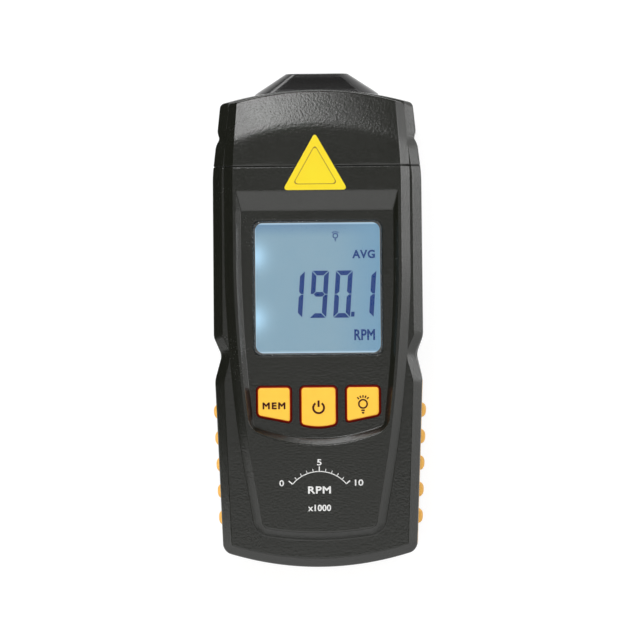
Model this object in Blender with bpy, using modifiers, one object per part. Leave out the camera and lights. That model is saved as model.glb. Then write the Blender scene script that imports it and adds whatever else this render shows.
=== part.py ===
"""Hand-held laser tachometer, lying on its back, built piece by piece in metres.

+X is the right-hand side of the display, +Y points along the beam towards the nose, and +Z is
the side that faces the user. The origin lies under the middle of the instrument, on the table.
"""

import math

import bmesh
import bpy
from mathutils import Matrix, Vector

# Housing
GAP = 0.0003  # clearance between pieces that seat on each other
WALL = 0.0020
FLANK_WIDTH = 0.01086  # from the display opening to the widest part of the flank
TAIL_RISE = 0.0043  # how far the tail bows out
HEAD_RISE = 0.0037
HEAD_LENGTH = 0.0202  # from the seam to the end of the head
TAIL_TAPER = 0.0020
TAIL_RADIUS = 0.0032
HIP_RADIUS = 0.0060
NOTCH_DEPTH = 0.0021
NOTCH_BELOW = 0.0066  # from the middle of the thumb notch down to the hip
NOTCH_ABOVE = 0.0048
NOTCH_RADIUS = 0.0040
REAR_NOTCH_DEPTH = 0.0008
KEY_TO_WAIST = 0.0085  # from the keys' upper edge to the middle of the thumb notch
NICK_STATION = 0.0131  # from the end of the head to the nick in its flank
NICK_DEPTH = 0.0018
NICK_SLOPE = 0.0016  # length of the nick's lower slope
NICK_RISE = 0.0022  # from the nick up to where the flank is full again
NICK_RADIUS = 0.0014
CHEEK_DROP = 0.0020  # from the seam down to where the flanks start to draw in
CHEEK_DEPTH = 0.00095  # how far they have drawn in at the nick
CHEEK_RADIUS = 0.0080
BROW_DEPTH = 0.0016  # depth of the flank just above the nick
HEAD_TAPER = 0.0022
HEAD_RADIUS = 0.0024
BACK_INSET = 0.0030  # how far the edge round the back is drawn in
BACK_RISE = 0.0048  # height of that rounding
SPLIT_MARGIN = 0.0007  # from the roof of the battery bay up to the parting line
LIP_THICKNESS = 0.0008  # lip of the rear shell that stands inside the front ones
LIP_HEIGHT = 0.0012
LAP_LENGTH = 0.0024  # how far the front shell's tongue reaches under the head cap

# Face: a shield that stands on the front, with a sunk panel for display and keys
SHIELD_RISE = 0.0022
SHIELD_BEVEL = 0.00185
LEDGE_WIDTH = 0.0011  # thin ledge round the shield
HEAD_LEDGE = 0.0005
SHOULDER_WIDTH = 0.0021
SHOULDER_DEPTH = 0.0032
DRAFT = 0.00015
FACE_WALL = 0.0018
ROLL_OFF = 0.0120  # length over which the head bends down to its end
SHIELD_TAIL_INSET = 0.0106
SHIELD_TAIL_STATION = 0.0083
SHIELD_TAIL_RADIUS = 0.0034
SHIELD_HEAD_BEND = 0.0800
SHIELD_HEAD_RADIUS = 0.0010
BEND_RADIUS = 0.3500  # of the long curves in the flanks of shield and recess
SHIELD_BEND_DROP = 0.0021  # from the waist to where straight and tapered flank would meet
RECESS_DEPTH = 0.0016
RECESS_SLOPE = 0.0050  # length of the slope at its top
SLOPE_TO_SEAM = 0.0065
RECESS_BEVEL = 0.0013
RECESS_RADIUS = 0.0005
RECESS_MARGIN = 0.00336  # from the display opening to the recess's flank
RECESS_TAPER = 0.0029
RECESS_BEND_RISE = 0.0077
KEY_TO_SMILE = 0.0102  # from the keys' upper edge to the ends of the recess's curved foot
SMILE_RISE = 0.0040

# Display
WINDOW_HALF = 0.01664
WINDOW_LENGTH = 0.0341
WINDOW_RADIUS = 0.00105
WINDOW_TO_SLOPE = 0.0034
WINDOW_REBATE = 0.00075
WINDOW_THICKNESS = 0.0012
LENS_LIP = 0.0008  # rim that carries the window
FRAME_LIP = 0.0010
FRAME_WALL = 0.0028
GLASS_THICKNESS = 0.0026
GLASS_MARGIN = 0.00125
GUIDE_THICKNESS = 0.0024
GUIDE_MARGIN = 0.0003
STRIP_WIDTH = 0.0016
STRIP_SHARE = 0.9  # of the opening's width
LED_SIZE = (0.0015, 0.0032, 0.0016)
LED_PLACES = (0.27, 0.74)  # along the left edge of the light guide

# Circuit board
BOARD_THICKNESS = 0.0016
BOARD_CLEARANCE = 0.0006
BOARD_ROOM = 0.0029  # for the parts under the board
BOARD_TAIL = 0.0094  # from the keys down to the board's lower edge
BOARD_HEAD = 0.0083  # from the display frame up to its upper edge
BOARD_RADIUS = 0.0020
CHIP = (0.0050, 0.0050, 0.0004, 0.0014)  # half width, half length, radius, height
CHIP_PLACE = (-0.0080, 0.0242)  # from the middle, and from the board's upper edge
CRYSTAL = (0.0050, 0.0019, 0.0018, 0.0035)
CRYSTAL_PLACE = (0.0080, 0.0182)
CAPACITOR = (0.00315, 0.0070)  # radius, height
CAPACITOR_PLACE = (0.0120, 0.0302)

# Keys
KEY_TOP_STATION = 0.0473  # from the tail to the upper edge of the keys
KEY_TO_WINDOW = 0.0090
KEY_LENGTH = 0.0099
KEY_WIDTH = 0.0089
KEY_MARGIN = 0.00034  # from the keys' outer edge to the line of the display opening
KEY_SLANT = 0.0018
KEY_RADIUS = 0.00105
KEY_PROUD = 0.0009
KEY_FLANGE = 0.0008
FLANGE_THICKNESS = 0.0011
KEY_TRAVEL = 0.0005
POWER_KEY_WIDTH = 0.0095
POWER_KEY_LENGTH = 0.0100
POWER_KEY_BOW = 0.00075
STEM_RADIUS = 0.0015
SWITCH_SIZE = 0.0060
SWITCH_HEIGHT = 0.0029
PLUNGER_LENGTH = 0.0018

# Battery bay and door
CELL_RADIUS = 0.00525
CELL_LENGTH = 0.0445
NUB_LENGTH = 0.0010
NUB_RADIUS = 0.0019
CELL_SPACE = 0.0004
CELL_COUNT = 3
SPRING_LENGTH = 0.0035
SPRING_WIRE = 0.00025
SPRING_TURNS = 3.5
SPRING_SHARES = (0.68, 0.38)  # of the cell's radius, at its wide and its narrow end
TURN_POINTS = 9
CONTACT_THICKNESS = 0.0004
BAY_STATION = 0.0086  # from the tail to the bay
BAY_WALL = 0.0016
ROOF_THICKNESS = 0.0012
DOOR_THICKNESS = 0.0020
DOOR_MARGIN = 0.0003
TONGUE_WIDTH = 0.0013
TONGUE_THICKNESS = 0.0008
FLOOR_THICKNESS = 0.0022
FOOT_WIDTH = 0.0016
THUMB_GROOVES = 4
THUMB_PITCH = 0.0018
THUMB_DEPTH = 0.0004
THUMB_WIDTH = 0.0130

# Grip band
GRIP_LOW = 0.0052
GRIP_MARGIN = 0.0018  # from its upper edge to the parting line
GRIP_PROUD = 0.0003
GRIP_THICKNESS = 0.0012
BUMP_COUNT = 5
BUMP_PITCH = 0.0070
BUMP_DROP = 0.0083  # from the band's ends to the first bump
BUMP_LENGTH = 0.0037
BUMP_PROUD = 0.0015

# Screws and bosses
BOSS_RADIUS = 0.0026
SCREW_RADIUS = 0.00095
SCREW_HEAD_RADIUS = 0.0020
SCREW_HEAD_HEIGHT = 0.0018
SCREW_SEAT = 0.0040  # height of the shoulder that each screw head pulls on
SCREW_LENGTH = 0.0165
SEAT_WALL = 0.0008  # between a tail screw's seat and the groove of the door
TAIL_SCREW_STATION = 0.0150
HEAD_SCREW = (0.0080, 0.0115)  # from the flank, and from the end of the head
BOARD_BOSS_RADIUS = 0.0020
BOARD_SCREW_RADIUS = 0.0007
BOARD_SCREW_HEAD = 0.0015
BOARD_SCREW_HEAD_HEIGHT = 0.0012
BOARD_SCREW_LENGTH = 0.0055
BOARD_SCREW_INSET = (0.0025, 0.0042)  # from the board's edge and ends

# Optics in the nose
NOSE_LENGTH = 0.0044
OPTIC_DROP = 0.0025  # from the parting line down to the optical axis
NOSE_SHARES = (-0.14, 0.23, 0.59, 1.0)  # of the nose's length, at which its sections stand
NOSE_WIDTHS = (0.0145, 0.0120, 0.0097, 0.0084)  # half widths there
NOSE_HEIGHTS = (0.0076, 0.0067, 0.0057, 0.0052)  # half heights there
NOSE_NECK = (0.0163, 0.0082)
NOSE_FLARE = 0.0008  # length of the flare at its base
NECK_STATION = 0.0044
FLANGE_RIM = 0.0015
FLANGE_DEPTH = 0.0012
NOSE_RADIUS = 0.0030
APERTURE = (0.0061, 0.0028)
APERTURE_REBATE = 0.0008
APERTURE_DEPTH = 0.00155
LENS_THICKNESS = 0.0010
LENS_BULGE = 0.0004
NOSE_WALL = 0.0017
HOLDER_HALF = 0.0100
HOLDER_HEIGHT = 0.0110
HOLDER_LENGTH = 0.0110
LASER_X = -0.0042
LASER_RADIUS = 0.0026
LASER_LENGTH = 0.0150
LASER_LENS_RADIUS = 0.0015
RECEIVER_X = 0.0029
RECEIVER_RADIUS = 0.0030
RECEIVER_DEPTH = 0.0045
DIODE_RADIUS = 0.0020
DIODE_LENGTH = 0.0050

# Label
LABEL_HEIGHT = 0.0152
LABEL_HALF = 0.0089
LABEL_RISE = 0.0002  # from the recess's upper edge to its base
LABEL_X = -0.0004
LABEL_THICKNESS = 0.0002
LABEL_POCKET = 0.0002
LABEL_CLEARANCE = 0.0001
LABEL_RADIUS = 0.0007

ARC_STEPS = 4
ROUND_SIDES = 24
SMALL_SIDES = 12
SMALLEST_RADIUS = 0.00015

# Along the instrument
WINDOW_STATION = KEY_TOP_STATION + KEY_TO_WINDOW
SLOPE_STATION = WINDOW_STATION + WINDOW_LENGTH + WINDOW_TO_SLOPE
SHELL_LENGTH = SLOPE_STATION + RECESS_SLOPE + SLOPE_TO_SEAM + HEAD_LENGTH
LENGTH = GRIP_PROUD + SHELL_LENGTH + NOSE_LENGTH
TAIL_Y = GRIP_PROUD - LENGTH / 2
HEAD_Y = TAIL_Y + SHELL_LENGTH
NOSE_Y = HEAD_Y + NOSE_LENGTH
SEAM_Y = HEAD_Y - HEAD_LENGTH
KEY_TOP_Y = TAIL_Y + KEY_TOP_STATION
WAIST_Y = KEY_TOP_Y + KEY_TO_WAIST
HIP_Y = WAIST_Y - NOTCH_BELOW
WINDOW_LOW_Y = TAIL_Y + WINDOW_STATION
WINDOW_HIGH_Y = WINDOW_LOW_Y + WINDOW_LENGTH
SLOPE_Y = TAIL_Y + SLOPE_STATION
BOARD_LOW_Y = KEY_TOP_Y - KEY_LENGTH - BOARD_TAIL
BOARD_HIGH_Y = WINDOW_HIGH_Y + GLASS_MARGIN + GAP + FRAME_WALL + BOARD_HEAD
BAY_LOW_Y = TAIL_Y + BAY_STATION
BAY_HIGH_Y = BAY_LOW_Y + CELL_LENGTH + SPRING_LENGTH + 2 * CONTACT_THICKNESS + 5 * GAP
DOOR_TOP_Y = BAY_HIGH_Y + FOOT_WIDTH

# Across it
HALF_WIDTH = WINDOW_HALF + FLANK_WIDTH
SHIELD_HALF = HALF_WIDTH - SHOULDER_WIDTH - LEDGE_WIDTH
SHIELD_HEAD_HALF = HALF_WIDTH - HEAD_TAPER - SHOULDER_WIDTH - HEAD_LEDGE
RECESS_HALF = WINDOW_HALF + RECESS_MARGIN
KEY_PITCH = WINDOW_HALF - KEY_MARGIN - KEY_WIDTH / 2
BOARD_HALF = HALF_WIDTH - NOTCH_DEPTH - WALL - BOARD_CLEARANCE
BAY_HALF = CELL_COUNT * CELL_RADIUS + (CELL_COUNT + 1) * CELL_SPACE / 2
DOOR_HALF = BAY_HALF + DOOR_MARGIN
TONGUE_HALF = DOOR_HALF + TONGUE_WIDTH
TAIL_SCREW_X = TONGUE_HALF + GAP + SEAT_WALL + SCREW_HEAD_RADIUS + GAP

# Up from its back
CELL_Z = DOOR_THICKNESS + GAP + CELL_RADIUS
ROOF_Z = CELL_Z + CELL_RADIUS + GAP
SPLIT_Z = ROOF_Z + ROOF_THICKNESS + SPLIT_MARGIN
OPTIC_Z = SPLIT_Z - OPTIC_DROP
GRIP_HIGH = SPLIT_Z - GRIP_MARGIN
BOARD_LOW_Z = ROOF_Z + ROOF_THICKNESS + BOARD_ROOM
UNDER_BOARD_Z = BOARD_LOW_Z - GAP
BOARD_TOP_Z = BOARD_LOW_Z + BOARD_THICKNESS
GUIDE_LOW_Z = BOARD_TOP_Z + GAP
GUIDE_TOP_Z = GUIDE_LOW_Z + GUIDE_THICKNESS
GLASS_LOW_Z = GUIDE_TOP_Z + GAP
GLASS_TOP_Z = GLASS_LOW_Z + GLASS_THICKNESS
CEILING_Z = GLASS_TOP_Z + GAP + FRAME_LIP + GAP
WINDOW_SEAT_Z = CEILING_Z + LENS_LIP
LEDGE_Z = CEILING_Z + FACE_WALL
DEPTH = LEDGE_Z + SHIELD_RISE
PANEL_Z = DEPTH - RECESS_DEPTH
SWITCH_TOP_Z = BOARD_TOP_Z + GAP + SWITCH_HEIGHT
PLUNGER_TOP_Z = SWITCH_TOP_Z + 2 * KEY_TRAVEL
STEM_LOW_Z = PLUNGER_TOP_Z + GAP
FLANGE_LOW_Z = CEILING_Z - GAP - FLANGE_THICKNESS

COLLECTION = bpy.data.collections.new("laser_tachometer")
CUTTERS = bpy.data.collections.new("cutters")


def start_scene():
    for obj in list(bpy.data.objects):
        bpy.data.objects.remove(obj)
    for collection in (COLLECTION, CUTTERS):
        bpy.context.scene.collection.children.link(collection)


def material(name, colour, roughness, metallic=0.0, alpha=1.0):
    made = bpy.data.materials.new(name)
    made.use_nodes = True
    shader = made.node_tree.nodes["Principled BSDF"]
    shader.inputs["Base Color"].default_value = (*colour, 1.0)
    shader.inputs["Roughness"].default_value = roughness
    shader.inputs["Metallic"].default_value = metallic
    shader.inputs["Alpha"].default_value = alpha
    return made


def placed(name, bm, finish=None):
    """The mesh as an object: a part with its own material, or a cutter where it has none."""
    bmesh.ops.recalc_face_normals(bm, faces=bm.faces)
    mesh = bpy.data.meshes.new(name)
    bm.to_mesh(mesh)
    bm.free()
    obj = bpy.data.objects.new(name, mesh)
    if finish is None:
        obj.hide_render = True
        obj.display_type = "WIRE"
        CUTTERS.objects.link(obj)
    else:
        mesh.materials.append(material(name, *finish))
        COLLECTION.objects.link(obj)
    return obj


def boolean(obj, other, operation):
    modifier = obj.modifiers.new(other.name, "BOOLEAN")
    modifier.operation = operation
    modifier.solver = "EXACT"
    modifier.object = other
    return obj


def cut(obj, *cutters):
    for cutter in cutters:
        boolean(obj, cutter, "DIFFERENCE")
    return obj


def join(obj, *others):
    for other in others:
        boolean(obj, other, "UNION")
    return obj


# Outlines: a closed list of corners (x, y, radius), anticlockwise seen from above


def mirrored(side, tail_rise=0.0, head_rise=0.0):
    """The right-hand side from tail to head, its mirror image, and the two bowed ends."""
    (tail_half, tail_y, _), (head_half, head_y, _) = side[0], side[-1]
    steps = [k / 3 for k in range(-2, 3)]
    tail = [(tail_half * t, tail_y - tail_rise * (1 - t * t), 0.0) for t in steps]
    head = [(-head_half * t, head_y + head_rise * (1 - t * t), 0.0) for t in steps]
    left = [(-x, y, radius) for x, y, radius in reversed(side)]
    return (tail if tail_rise else []) + list(side) + (head if head_rise else []) + left


def rectangle(half_x, half_y, radius, x=0.0, y=0.0):
    side = [(half_x, -half_y, radius), (half_x, half_y, radius)]
    return moved(mirrored(side), x, y)


def moved(corners, x, y):
    return [(cx + x, cy + y, radius) for cx, cy, radius in corners]


def inset(corners, distance):
    """The outline drawn in by a distance, with its fillets made smaller or larger to suit."""
    made = []
    for k, (x, y, radius) in enumerate(corners):
        before = Vector(corners[k - 1][:2])
        here = Vector((x, y))
        after = Vector(corners[(k + 1) % len(corners)][:2])
        into, out = (here - before).normalized(), (after - here).normalized()
        normals = Vector((into.y, -into.x)), Vector((out.y, -out.x))
        turn = into.cross(out)
        spot = here - (normals[0] + normals[1]) * distance / (1 + normals[0].dot(normals[1]))
        if radius:
            radius = max(radius - math.copysign(distance, turn), SMALLEST_RADIUS)
        made.append((spot.x, spot.y, radius))
    return made


def rounded(corners):
    """The outline's points, with an arc at each corner that has a radius."""
    points = []
    for k, (x, y, radius) in enumerate(corners):
        here = Vector((x, y))
        if not radius:
            points.append(here)
            continue
        back = Vector(corners[k - 1][:2]) - here
        ahead = Vector(corners[(k + 1) % len(corners)][:2]) - here
        half = back.angle(ahead) / 2
        reach = min(radius / math.tan(half), 0.48 * back.length, 0.48 * ahead.length)
        radius = reach * math.tan(half)
        middle = (back.normalized() + ahead.normalized()).normalized()
        centre = here + middle * radius / math.sin(half)
        start = here + back.normalized() * reach - centre
        sweep = math.copysign(math.pi - 2 * half, -back.cross(ahead))
        for step in range(ARC_STEPS + 1):
            points.append(centre + Matrix.Rotation(sweep * step / ARC_STEPS, 2) @ start)
    return points


def loft(sections):
    """A closed skin through sections of (corners, height), which have as many points each."""
    bm = bmesh.new()
    rings = [[bm.verts.new((p.x, p.y, z)) for p in rounded(corners)] for corners, z in sections]
    count = len(rings[0])
    for low, high in zip(rings, rings[1:]):
        for k in range(count):
            after = (k + 1) % count
            bm.faces.new((low[k], low[after], high[after], high[k]))
    bm.faces.new(list(reversed(rings[0])))
    bm.faces.new(rings[-1])
    return bm


def plate(corners, low, high):
    return loft([(corners, low), (corners, high)])


def block(low, high):
    size = Vector(high) - Vector(low)
    centre = (Vector(high) + Vector(low)) / 2
    bm = bmesh.new()
    bmesh.ops.create_cube(bm, size=1.0, matrix=Matrix.Translation(centre) @ Matrix.Diagonal((*size, 1)))
    return bm


def round_bar(radius, low, high, x=0.0, y=0.0, sides=ROUND_SIDES):
    bm = bmesh.new()
    bmesh.ops.create_cone(
        bm,
        cap_ends=True,
        segments=sides,
        radius1=radius,
        radius2=radius,
        depth=high - low,
        matrix=Matrix.Translation((x, y, (low + high) / 2)),
    )
    return bm


def turned(name, profile, finish, steps=ROUND_SIDES):
    """A profile of (radius, height), from top to bottom, turned about Z."""
    mesh = bpy.data.meshes.new(name)
    points = [(radius, 0.0, height) for radius, height in profile]
    mesh.from_pydata(points, [(k, k + 1) for k in range(len(points) - 1)], [])
    mesh.materials.append(material(name, *finish))
    obj = bpy.data.objects.new(name, mesh)
    COLLECTION.objects.link(obj)
    screw = obj.modifiers.new("turn", "SCREW")
    screw.angle = math.tau
    screw.steps = screw.render_steps = steps
    screw.use_merge_vertices = True
    screw.merge_threshold = 0.00001
    return obj


def lay_along_beam(obj, x, y, z):
    """Turns a piece built along Z so that it points along the beam."""
    obj.location = (x, y, z)
    obj.rotation_euler = (-math.pi / 2, 0.0, 0.0)
    return obj


# Shell forms


def body_side(notch_depth, head_shift=0.0):
    nick_y = HEAD_Y - NICK_STATION
    return [
        (HALF_WIDTH - TAIL_TAPER, TAIL_Y + TAIL_RISE, TAIL_RADIUS),
        (HALF_WIDTH - TAIL_TAPER / 8, HIP_Y, HIP_RADIUS),
        (HALF_WIDTH - notch_depth, WAIST_Y, NOTCH_RADIUS),
        (HALF_WIDTH, WAIST_Y + NOTCH_ABOVE, NOTCH_RADIUS),
        (HALF_WIDTH, SEAM_Y - CHEEK_DROP, CHEEK_RADIUS),
        (HALF_WIDTH - CHEEK_DEPTH, nick_y - NICK_SLOPE, NICK_RADIUS),
        (HALF_WIDTH - NICK_DEPTH, nick_y, NICK_RADIUS),
        (HALF_WIDTH - BROW_DEPTH, nick_y + NICK_RISE, 0.0),
        (HALF_WIDTH - HEAD_TAPER, HEAD_Y - HEAD_RISE + head_shift, HEAD_RADIUS),
    ]


def body_ring(distance, head_distance=0.0, notch_depth=NOTCH_DEPTH):
    """The body's outline drawn in at its flanks and tail, and by another distance at its head."""
    side = body_side(notch_depth, head_shift=distance - head_distance)
    return inset(mirrored(side, TAIL_RISE, HEAD_RISE), distance)


def shield_ring(distance, head_drop):
    side = [
        (HALF_WIDTH - SHIELD_TAIL_INSET, TAIL_Y + SHIELD_TAIL_STATION, SHIELD_TAIL_RADIUS),
        (SHIELD_HALF, WAIST_Y - SHIELD_BEND_DROP, BEND_RADIUS),
        (SHIELD_HALF, SEAM_Y, SHIELD_HEAD_BEND),
        (SHIELD_HEAD_HALF, HEAD_Y - HEAD_RISE - head_drop + distance, SHIELD_HEAD_RADIUS),
    ]
    return inset(mirrored(side, TAIL_RISE / 4, HEAD_RISE), distance)


def recess_ring(bevel, slope):
    """The recess's outline, drawn in at its flanks and lower edge, and further at its top."""
    tail = KEY_TOP_Y - KEY_TO_SMILE - bevel / 2
    side = [
        (RECESS_HALF - RECESS_TAPER + bevel * 0.8, tail, RECESS_RADIUS),
        (RECESS_HALF + bevel, WAIST_Y + RECESS_BEND_RISE, BEND_RADIUS),
        (RECESS_HALF + bevel, SLOPE_Y + slope, RECESS_RADIUS),
    ]
    return mirrored(side, SMILE_RISE + bevel / 3)


def window_ring(margin):
    middle = (WINDOW_LOW_Y + WINDOW_HIGH_Y) / 2
    return inset(rectangle(WINDOW_HALF, WINDOW_LENGTH / 2, WINDOW_RADIUS, y=middle), -margin)


def key_rings():
    """Each key's name, its outline and the middle of its switch."""
    low = KEY_TOP_Y - KEY_LENGTH
    half = KEY_WIDTH / 2
    for name, side in (("key_memory", -1), ("key_light", 1)):
        inner, outer = KEY_PITCH - half, KEY_PITCH + half
        corners = [
            (inner, low, KEY_RADIUS),
            (outer, low + KEY_SLANT, KEY_RADIUS),
            (outer, KEY_TOP_Y, KEY_RADIUS),
            (inner, KEY_TOP_Y, KEY_RADIUS),
        ]
        if side < 0:
            corners = [(-x, y, radius) for x, y, radius in reversed(corners)]
        yield name, corners, (side * KEY_PITCH, KEY_TOP_Y - KEY_LENGTH / 2)
    half = POWER_KEY_WIDTH / 2
    side = [(half, KEY_TOP_Y - POWER_KEY_LENGTH, KEY_RADIUS), (half, KEY_TOP_Y, KEY_RADIUS)]
    yield "key_power", mirrored(side, POWER_KEY_BOW), (0.0, KEY_TOP_Y - KEY_LENGTH / 2)


def label_ring(margin):
    base = SLOPE_Y + RECESS_SLOPE + LABEL_RISE
    corners = [
        (-LABEL_HALF, base, LABEL_RADIUS),
        (LABEL_HALF, base, LABEL_RADIUS),
        (0.0, base + LABEL_HEIGHT, LABEL_RADIUS),
    ]
    return inset(moved(corners, LABEL_X, 0.0), -margin)


def screw_places():
    """The four case screws: name, x, y."""
    for side, word in ((-1, "left"), (1, "right")):
        yield f"tail_{word}", side * TAIL_SCREW_X, TAIL_Y + TAIL_SCREW_STATION
        yield f"head_{word}", side * (HALF_WIDTH - HEAD_SCREW[0]), HEAD_Y - HEAD_SCREW[1]


def board_screw_places():
    x = BOARD_HALF - BOARD_SCREW_INSET[0]
    low = BOARD_LOW_Y + BOARD_SCREW_INSET[1]
    high = BOARD_HIGH_Y - BOARD_SCREW_INSET[1]
    for word, side, y in (
        ("lower_left", -1, low),
        ("lower_right", 1, low),
        ("upper_left", -1, high),
        ("upper_right", 1, high),
    ):
        yield word, side * x, y


def nose_opening():
    """Cutter for the opening in the head's end, through both shells."""
    corners = inset(rectangle(*NOSE_NECK, NOSE_RADIUS), -GAP)
    opening = placed("nose_opening", plate(corners, -NECK_STATION - FLANGE_DEPTH, NOSE_LENGTH))
    return lay_along_beam(opening, 0.0, HEAD_Y, OPTIC_Z)


# Front of the housing: one form, parted at the seam into front shell and head cap


def front_form(opening):
    outer = [
        (body_ring(0.0), SPLIT_Z + GAP),
        (body_ring(DRAFT), LEDGE_Z - SHOULDER_DEPTH),
        (body_ring(SHOULDER_WIDTH * 0.4), LEDGE_Z - SHOULDER_DEPTH * 0.3),
        (body_ring(SHOULDER_WIDTH), LEDGE_Z),
    ]
    form = placed("front_form", loft(outer))
    shield = [
        (shield_ring(0.0, GAP), CEILING_Z + FACE_WALL / 2),
        (shield_ring(0.0, GAP), LEDGE_Z),
        (shield_ring(SHIELD_BEVEL / 2, ROLL_OFF / 4), LEDGE_Z + SHIELD_RISE / 2),
        (shield_ring(SHIELD_BEVEL * 0.82, ROLL_OFF * 0.55), LEDGE_Z + SHIELD_RISE * 0.82),
        (shield_ring(SHIELD_BEVEL, ROLL_OFF), DEPTH),
    ]
    hollow = [
        (body_ring(WALL, WALL), SPLIT_Z),
        (body_ring(WALL + DRAFT, WALL), LEDGE_Z - SHOULDER_DEPTH),
        (body_ring(WALL + SHOULDER_WIDTH / 2, WALL), CEILING_Z),
    ]
    recess = [
        (recess_ring(0.0, 0.0), PANEL_Z),
        (recess_ring(RECESS_BEVEL, RECESS_SLOPE), DEPTH),
        (recess_ring(RECESS_BEVEL, RECESS_SLOPE), DEPTH + WALL),
    ]
    label = plate(label_ring(LABEL_CLEARANCE), DEPTH - LABEL_POCKET, DEPTH + WALL)
    join(form, placed("shield", loft(shield)))
    cut(form, placed("front_hollow", loft(hollow)), placed("recess", loft(recess)))
    cut(form, placed("label_pocket", label), opening)
    for name, x, y in screw_places():
        boss = round_bar(BOSS_RADIUS, SPLIT_Z + GAP, CEILING_Z + FACE_WALL / 2, x, y)
        bore = round_bar(SCREW_RADIUS + GAP, SPLIT_Z, SCREW_SEAT + SCREW_LENGTH + 2 * GAP, x, y)
        join(form, placed(f"front_boss_{name}", boss))
        cut(form, placed(f"front_bore_{name}", bore))
    return form


def front_shell(form):
    low = block((-LENGTH, -LENGTH, 0.0), (LENGTH, SEAM_Y - GAP / 2, 2 * DEPTH))
    shell = placed("front_shell", low, ((0.045, 0.045, 0.043), 0.45))
    boolean(shell, form, "INTERSECT")
    root_y = SEAM_Y - 2 * LAP_LENGTH
    lap_half = SHIELD_HEAD_HALF - 2 * WALL
    lap_top = CEILING_Z - GAP
    root = block((-lap_half, root_y, lap_top - WALL / 2), (lap_half, SEAM_Y - GAP, CEILING_Z + GAP))
    tongue = block((-lap_half, root_y, lap_top - WALL / 2), (lap_half, SEAM_Y + LAP_LENGTH, lap_top))
    join(shell, placed("lap_root", root), placed("lap_tongue", tongue))
    window = plate(window_ring(0.0), CEILING_Z - GAP, PANEL_Z + GAP)
    rebate = plate(window_ring(WINDOW_REBATE), WINDOW_SEAT_Z, PANEL_Z + GAP)
    cut(shell, placed("window_hole", window), placed("window_rebate", rebate))
    for name, corners, _ in key_rings():
        hole = plate(inset(corners, -GAP), CEILING_Z - GAP, PANEL_Z + GAP)
        cut(shell, placed(f"{name}_hole", hole))
    for name, x, y in board_screw_places():
        low_z = BOARD_TOP_Z + GAP
        boss = round_bar(BOARD_BOSS_RADIUS, low_z, CEILING_Z + FACE_WALL / 2, x, y, 2 * SMALL_SIDES)
        bore_top = BOARD_LOW_Z + BOARD_SCREW_LENGTH
        bore = round_bar(BOARD_SCREW_RADIUS + GAP, low_z - GAP, bore_top, x, y, SMALL_SIDES)
        join(shell, placed(f"board_boss_{name}", boss))
        cut(shell, placed(f"board_bore_{name}", bore))
    return shell


def head_cap(form):
    high = block((-LENGTH, SEAM_Y + GAP / 2, 0.0), (LENGTH, LENGTH, 2 * DEPTH))
    cap = placed("head_cap", high, ((0.045, 0.045, 0.043), 0.42))
    return boolean(cap, form, "INTERSECT")


# Back of the housing


def rear_form(name):
    """The rear shell's outside, closed: the shell and its battery door are both cut from it."""
    rings = []
    for angle in (math.radians(90 * k / ARC_STEPS) for k in range(ARC_STEPS + 1)):
        drawn_in = BACK_INSET * (1 - math.sin(angle))
        height = BACK_RISE * (1 - math.cos(angle))
        rings.append((body_ring(drawn_in, drawn_in, REAR_NOTCH_DEPTH), height))
    rings.append((body_ring(0.0, 0.0, REAR_NOTCH_DEPTH), SPLIT_Z))
    return placed(name, loft(rings))


def parting_lip():
    """Lip along the rear shell's rim, which closes the parting line from inside."""
    foot, shelf = SPLIT_Z - LIP_HEIGHT, SPLIT_Z - GAP
    rings = [
        (body_ring(WALL, WALL, REAR_NOTCH_DEPTH), foot),
        (body_ring(WALL, WALL, REAR_NOTCH_DEPTH), shelf),
        (body_ring(WALL + GAP, WALL + GAP), shelf),
        (body_ring(WALL + GAP, WALL + GAP), SPLIT_Z + LIP_HEIGHT),
    ]
    inner = WALL + GAP + LIP_THICKNESS
    core = [(body_ring(inner, inner), z) for z in (0.0, DEPTH)]
    reach = NOSE_NECK[0] + FLANGE_RIM + GAP
    gate = block((-reach, SEAM_Y, -DEPTH), (reach, LENGTH, DEPTH))
    lip = placed("parting_lip", loft(rings))
    cut(lip, placed("parting_lip_core", loft(core)), placed("nose_gate", gate))
    for name, x, y in screw_places():
        if name.startswith("tail"):
            room = round_bar(BOSS_RADIUS + GAP, SPLIT_Z - LIP_HEIGHT / 2, DEPTH, x, y)
            cut(lip, placed(f"boss_room_{name}", room))
    return lip


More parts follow.
